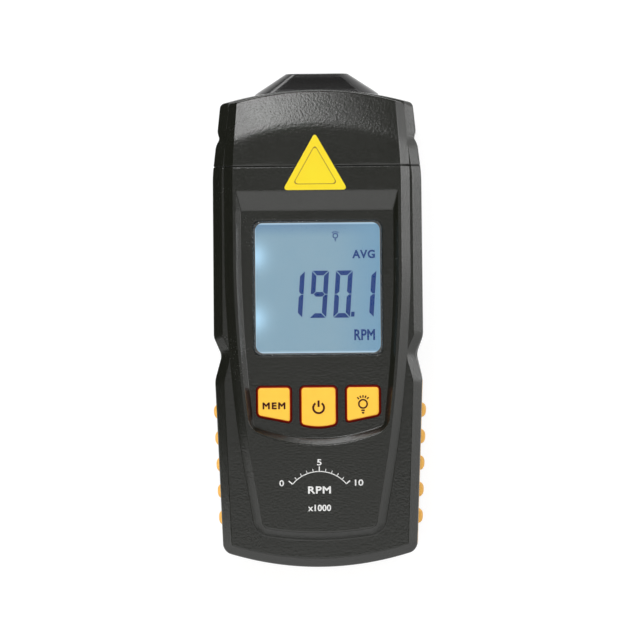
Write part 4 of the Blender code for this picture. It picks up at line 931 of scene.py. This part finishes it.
THUMB_PITCH = 0.0018
door = rear_skin("battery_door_moulding")
panel = door_space("door_panel", door_half, -1, 0.0, 0.0)
tongues = door_space("door_tongues", tongue_half, door_high.z - 0.0008, 0.0, 0.0)
combined(panel, [tongues], "UNION")
combined(door, [panel], "INTERSECT")
for k in range(4):
    y = door_high.y - THUMB_PITCH * (k + 2)
    groove = [(y - 0.00065, -0.0004), (y + 0.00065, -0.0004), (y + 0.00035, 0.0004), (y - 0.00035, 0.0004)]
    across = np.array([[(x, *point) for point in groove] for x in (-0.0065, 0.0065)])
    combined(door, [skinned(f"thumb_groove_{k}", across, capped=True)], "DIFFERENCE")
finished(shaded(door), rear_black, "door", "housing", "battery_door")


# Grip band
# Soft orange elastomer, moulded as one band that lies in the rear shell's channel along both lower
# flanks and round the tail. Five bumps a side stand out for the fingers.

BUMP_PITCH, BUMP_HALF, BUMP_HEIGHT = 0.0070, 0.0019, 0.0011
BAND_INNER, BAND_THICKNESS = 0.0009, 0.00095
bump_middles = [hip_y - 0.0083 - BUMP_PITCH * k for k in range(5)]
loop = body_outline(rear_flank, 0.0)
loop = np.roll(loop, -(FLANK_STEPS + END_STEPS // 2), axis=0)
loop = loop[loop[:, 1] < hip_y]
travelled = np.concatenate([[0.0], np.cumsum(np.linalg.norm(np.diff(loop, axis=0), axis=1))])
steps = np.linspace(0.0, travelled[-1], 1000)
path = np.stack([np.interp(steps, travelled, loop[:, axis]) for axis in (0, 1)], -1)
outward = -left_of(np.gradient(path, axis=0))
on_flank = np.clip((path[:, 1] - (tail_y + 0.006)) / 0.002, 0.0, 1.0)
swell = sum(np.clip(1 - np.abs((path[:, 1] - y) / BUMP_HALF) ** 2.6, 0.0, 1.0) ** 0.6 for y in bump_middles)
swell *= on_flank * BUMP_HEIGHT
mid_z, half_z = (band_low.z + band_high.z) / 2, (band_high.z - band_low.z) / 2
angles = np.linspace(-math.pi / 2, math.pi / 2, 29)
lift = np.sign(np.sin(angles)) * np.abs(np.sin(angles)) ** 0.55
reach = np.abs(np.cos(angles)) ** 0.34
inner_edge = path - outward * BAND_INNER
sections = []
for up, out in zip(lift, reach):
    ring = inner_edge + outward * ((BAND_THICKNESS + swell * (1 - 0.12 * up**4)) * out)[:, None]
    sections.append(at_height(ring, mid_z + half_z * up))
band = np.stack(sections, axis=1)
band = skinned("grip_band_elastomer", band, capped=True)
# The band's faint emission is a painted glow that lightens it where the lamps leave it dark; the rubber is no
# lamp.
orange_grip = Finish("grip_elastomer_orange", paint(255, 168, 52), 0.5, Emission_Strength=0.16, IOR=1.38)
orange_grip.put("Emission Color", paint(255, 200, 130))
pits = orange_grip.noise(0.0004, 3.0, 0.6)
mottled = orange_grip.mixed((pits - 0.3) * 1.2, paint(255, 186, 76), paint(255, 208, 106))
orange_grip.put("Base Color", mottled)
orange_grip.put("Roughness", 0.50 + orange_grip.noise(0.004) * 0.18)
orange_grip.relief(pits, 0.00002)
finished(shaded(band), orange_grip, "housing", "grip", "grip_band")


# Nose hood
# A black snout clamped between the shells by its flange. It narrows to an opening with a dark red
# window, behind which the laser and the receiver look out.

nose_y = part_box("nose_hood")[1].y


def upright_box(half_x, half_z, reach, y):
    """Rounded rectangle that stands across the beam at y."""
    corners = [(-half_x, -half_z), (half_x, -half_z), (half_x, half_z), (-half_x, half_z)]
    outline = dense_polygon([(*corner, reach) for corner in corners], 280)
    return np.column_stack([outline[:, 0], np.full(len(outline), y), outline[:, 1] + optic_z])


# Half width, half height, reach of the corners, distance behind the nose's end and reach of the crease:
# the tapered outside, the flange between the shells, and the inside with the window's seat
HOOD_SECTIONS = [
    (0.0081, 0.0047, 0.0028, 0.0, 0.00025),
    (0.0098, 0.0054, 0.0034, 0.0011, 0.0004),
    (0.0122, 0.0063, 0.0040, 0.0027, 0.0005),
    (0.0145, 0.0072, 0.0044, 0.0042, 0.0004),
    (0.0162, 0.0080, 0.0044, 0.0054, 0.0002),
    (0.0163, 0.0082, 0.0030, 0.0058, 0.00015),
    (0.0163, 0.0082, 0.0030, 0.0088, 0.0),
    (0.0178, 0.0097, 0.0032, 0.0088, 0.0),
    (0.0178, 0.0097, 0.0032, 0.0100, 0.0),
    (0.0146, 0.0065, 0.0015, 0.0100, 0.0),
    (0.0146, 0.0065, 0.0015, 0.0088, 0.0002),
    (0.0061, 0.0028, 0.0012, 0.00155, 0.0),
    (0.0069, 0.0036, 0.0015, 0.00155, 0.0),
    (0.0069, 0.0036, 0.0015, 0.0, 0.0002),
]
hood = [(upright_box(*section, nose_y - behind), crease, 0) for *section, behind, crease in HOOD_SECTIONS]
nose = shaded(skinned("nose_hood_moulding", creased(hood, 4), ring=True))
nose_black = moulding("nose_moulding_black", (0.0085, 0.0085, 0.0080), 0.22, 0.00045, 0.00002)
finished(nose, nose_black, "housing", "housing", "nose_hood")
dark_glass = Finish("beam_window_dark", (0.012, 0.002, 0.003), 0.06, Coat_Weight=0.5)
dark_glass.relief(dark_glass.noise(0.006), 0.000003)
tinted = dark_glass.mixed(dark_glass.noise(0.008), (0.010, 0.002, 0.003), (0.020, 0.003, 0.004))
dark_glass.put("Base Color", tinted)
dress(dark_glass, "lens_window", "photodiode")


# Case screws
# Four plated screws with a cross recess, sunk in the back, hold the shells together.

steel = Finish("plated_steel", (0.56, 0.56, 0.57), 0.32, 1.0)
scratches = steel.noise(0.0003, 4.0, 0.7)
steel.put("Roughness", 0.22 + scratches * 0.22)
steel.relief(scratches, 0.000006)
for screw, (x, y) in zip(screws, places):
    low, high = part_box(screw)
    head, shank, under = 0.0020, 0.00095, low.z + 0.0018
    turn = [(0.0004, high.z), (shank, high.z - shank), (shank, under), (head, under), (head, under - 0.0006)]
    turn += [(head * math.cos(a), under - 0.0006 - 0.0012 * math.sin(a)) for a in np.linspace(0.15, 1.45, 8)]
    rows = np.stack([at_height(circle((x, y), radius), z) for radius, z in turn])
    piece = skinned(f"{screw}_fine", rows[:, ::-1], capped=True)
    depth = low.z + 0.0011
    slots = [block("slot_x", (x - 0.0012, y - 0.0002, -1), (x + 0.0012, y + 0.0002, depth))]
    slots.append(block("slot_y", (x - 0.0002, y - 0.0012, -1), (x + 0.0002, y + 0.0012, depth)))
    finished(shaded(combined(piece, slots, "DIFFERENCE")), steel, "housing", "steel", screw)


# Circuit board and what it carries
# A green board hangs from bosses of the front shell by four screws, with the key switches above it
# and a controller, a crystal and a capacitor below.

green = Finish("board_solder_mask", (0.015, 0.12, 0.045), 0.32)
tracks = green.add("ShaderNodeTexBrick", {}, {"Vector": green.place, "Scale": 220.0, "Mortar Size": 0.03}, 1)
green.put("Base Color", green.mixed(tracks, (0.012, 0.105, 0.040), (0.030, 0.19, 0.075)))
green.relief(tracks, 0.00002)
dress(green, "main_board")
resin = moulding("moulded_resin_black", (0.016, 0.016, 0.016), 0.5, 0.0003, 0.00002)
dress(resin, "controller_chip", "capacitor", "optics_holder", "switch_memory", "switch_power", "switch_light")
pale = moulding("plunger_pale", (0.42, 0.42, 0.40), 0.45, 0.0003, 0.000008)
dress(pale, "plunger_memory", "plunger_power", "plunger_light")
board_screws = [f"board_screw_{end}_{side}" for end in ("lower", "upper") for side in ("left", "right")]
dress(steel, "crystal", *board_screws)


# Optics
# A turned brass laser module and a receiver with its lens sit in a black holder behind the nose.

brass = Finish("turned_brass", (0.62, 0.42, 0.16), 0.25, 1.0)
turning = (brass.axes()[1] * (math.tau / 0.00012)).worked("SINE")
brass.put("Roughness", 0.25 + brass.noise(0.0006) * 0.15)
brass.relief(turning * 0.5 + 0.5, 0.000004)
dress(brass, "laser_module")
lens_glass = Finish("lens_glass", (0.9, 0.93, 0.95), 0.03, Transmission_Weight=1.0, IOR=1.5)
lens_glass.relief(lens_glass.noise(0.003), 0.000002)
dress(lens_glass, "laser_lens", "receiver_lens")


# Cells and contacts
# Three plain-sleeved cells lie in the bay between two nickel-plated contacts, each on a conical spring.

cell_low, cell_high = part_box("cell_1")
sleeve = Finish("cell_sleeve", (0.03, 0.032, 0.038), 0.3)
along = sleeve.axes()[1]
middle = (bay_low + bay_high) / 2
from_middle = (along - middle).worked("ABSOLUTE")
bare = from_middle.above((cell_high.y - cell_low.y) / 2 - 0.0008 + 0.0012, 0.0003)
band_mask = (along - (middle + 0.012)).worked("ABSOLUTE").above(0.006, 0.0003)
colour = sleeve.mixed(band_mask, (0.10, 0.11, 0.12), (0.028, 0.030, 0.036))
sleeve.put("Base Color", sleeve.mixed(bare, colour, (0.55, 0.55, 0.56)))
sleeve.put("Metallic", bare)
sleeve.put("Roughness", 0.28 + sleeve.noise(0.004) * 0.12)
dress(sleeve, "cell_1", "cell_2", "cell_3")
nickel = Finish("nickel_plate", (0.66, 0.64, 0.60), 0.25, 1.0)
nickel.put("Roughness", 0.20 + nickel.noise(0.001, 3.0) * 0.2)
nickel.relief(nickel.noise(0.0006), 0.000004)
dress(nickel, "contact_tail", "contact_head", "spring_1", "spring_2", "spring_3")


# Floor, lamps and camera
# The instrument lies on a white sweep with a round wall. A broad soft lamp hangs above it, a strong
# one stands to the right, and a softbox at the upper left lights the sloping head. Two black cards to
# its left show in glossy surfaces alone, and keep the left edges dark. The camera stands high above the
# face and a little to the right, and looks back at the middle.

SWEEP_RADIUS, SWEEP_TURN, SWEEP_HEIGHT, SWEEP_GLOW = 3.0, 0.5, 1.0, 0.86
sweep_profile = [(0.0005, 0.0), (0.5, 0.0)]
for a in np.linspace(0, math.pi / 2, 9):
    sweep_profile.append((SWEEP_RADIUS - SWEEP_TURN * (1 - math.sin(a)), SWEEP_TURN * (1 - math.cos(a))))
sweep_profile.append((SWEEP_RADIUS, SWEEP_HEIGHT))
sweep_rows = [at_height(arc((0, 0), radius, 0, 357.5, 144), z - 0.0002) for radius, z in sweep_profile]
sweep = shaded(skinned("studio_sweep", np.stack(sweep_rows)))
white = Finish("sweep_white", (0.25, 0.25, 0.25), 0.9)
rays = white.tree.nodes.new("ShaderNodeLightPath")
seen = sum(Tone(white.tree, rays.outputs[f"Is {kind} Ray"]) for kind in ("Camera", "Glossy", "Transmission"))
white.put("Emission Color", (1.0, 1.0, 1.0))
white.put("Emission Strength", seen * SWEEP_GLOW)
sweep.data.materials.append(white.material)

card_black = Finish("card_black", (0.005, 0.005, 0.005), 0.9)
rays = card_black.tree.nodes.new("ShaderNodeLightPath")
clear = card_black.tree.nodes.new("ShaderNodeBsdfTransparent")
shown = card_black.tree.nodes.new("ShaderNodeMixShader")
output = card_black.tree.nodes["Material Output"]
card_black.tree.links.new(rays.outputs["Is Glossy Ray"], shown.inputs[0])
card_black.tree.links.new(clear.outputs[0], shown.inputs[1])
card_black.tree.links.new(card_black.shader.outputs[0], shown.inputs[2])
card_black.tree.links.new(shown.outputs[0], output.inputs[0])
for name, low, high in (
    ("card_lying", (-0.15, -0.025, 0.0002), (-0.031, 0.30, 0.0004)),
    ("card_standing", (-0.151, -0.055, 0.0), (-0.150, 0.30, 0.10)),
):
    card = block(name, low, high)
    card.data.materials.append(card_black.material)

world = bpy.data.worlds.new("studio")
bpy.context.scene.world = world
world.use_nodes = True
world.node_tree.nodes["Background"].inputs["Color"].default_value = (1.0, 1.0, 1.0, 1.0)
world.node_tree.nodes["Background"].inputs["Strength"].default_value = 0.10


def lamp_at(name, place, width, height, strength, mirrored=True):
    """Area lamp that looks at the instrument. Its power is strength * pi * area, so that a surface that
    mirrors it shows the strength; one that isn't mirrored gives soft light alone."""
    data = bpy.data.lights.new(name, "AREA")
    data.shape = "RECTANGLE"
    data.size, data.size_y = width, height
    data.energy = strength * math.pi * width * height
    lamp = added(name, data)
    x, y, z = place
    lamp.location = place
    lamp.rotation_euler = (math.atan2(math.hypot(x, y), z), 0.0, math.atan2(-y, -x) - math.pi / 2)
    lamp.visible_camera, lamp.visible_glossy = False, mirrored


lamp_at("overhead", (0.0, -0.44, 1.1), 1.2, 0.8, 1.0)
lamp_at("top_fill", (0.0, 0.20, 1.0), 0.50, 0.50, 1.5, mirrored=False)
lamp_at("right", (0.5, 0.12, 0.165), 0.24, 0.32, 3.1)
lamp_at("right_high", (0.30, 0.20, 0.35), 0.09, 0.09, 14.0)
lamp_at("upper_left", (-0.120, 0.320, 0.600), 0.20, 0.20, 8.5)
lamp_at("strip", (-0.20, 0.52, 0.09), 0.50, 0.16, 3.8)
lamp_at("left_fill", (-0.60, -0.10, 0.25), 0.40, 0.40, 3.4, mirrored=False)
lamp_at("lower", (0.0, -1.3, 1.1), 1.8, 1.2, 0.6)

CAMERA_SIDE, CAMERA_DISTANCE, LENS_MM = 0.0323, 2.0, 429.3
camera_data = bpy.data.cameras.new("camera")
camera_data.sensor_width = 36.0
camera_data.lens = LENS_MM
camera_data.clip_end = 10.0
camera = added("camera", camera_data)
camera.location = (CAMERA_SIDE, -0.00020, face_z + CAMERA_DISTANCE)
camera.rotation_euler = (0.0, 0.01588, -0.00926)
bpy.context.scene.camera = camera
bpy.context.scene.view_settings.view_transform = "Standard"
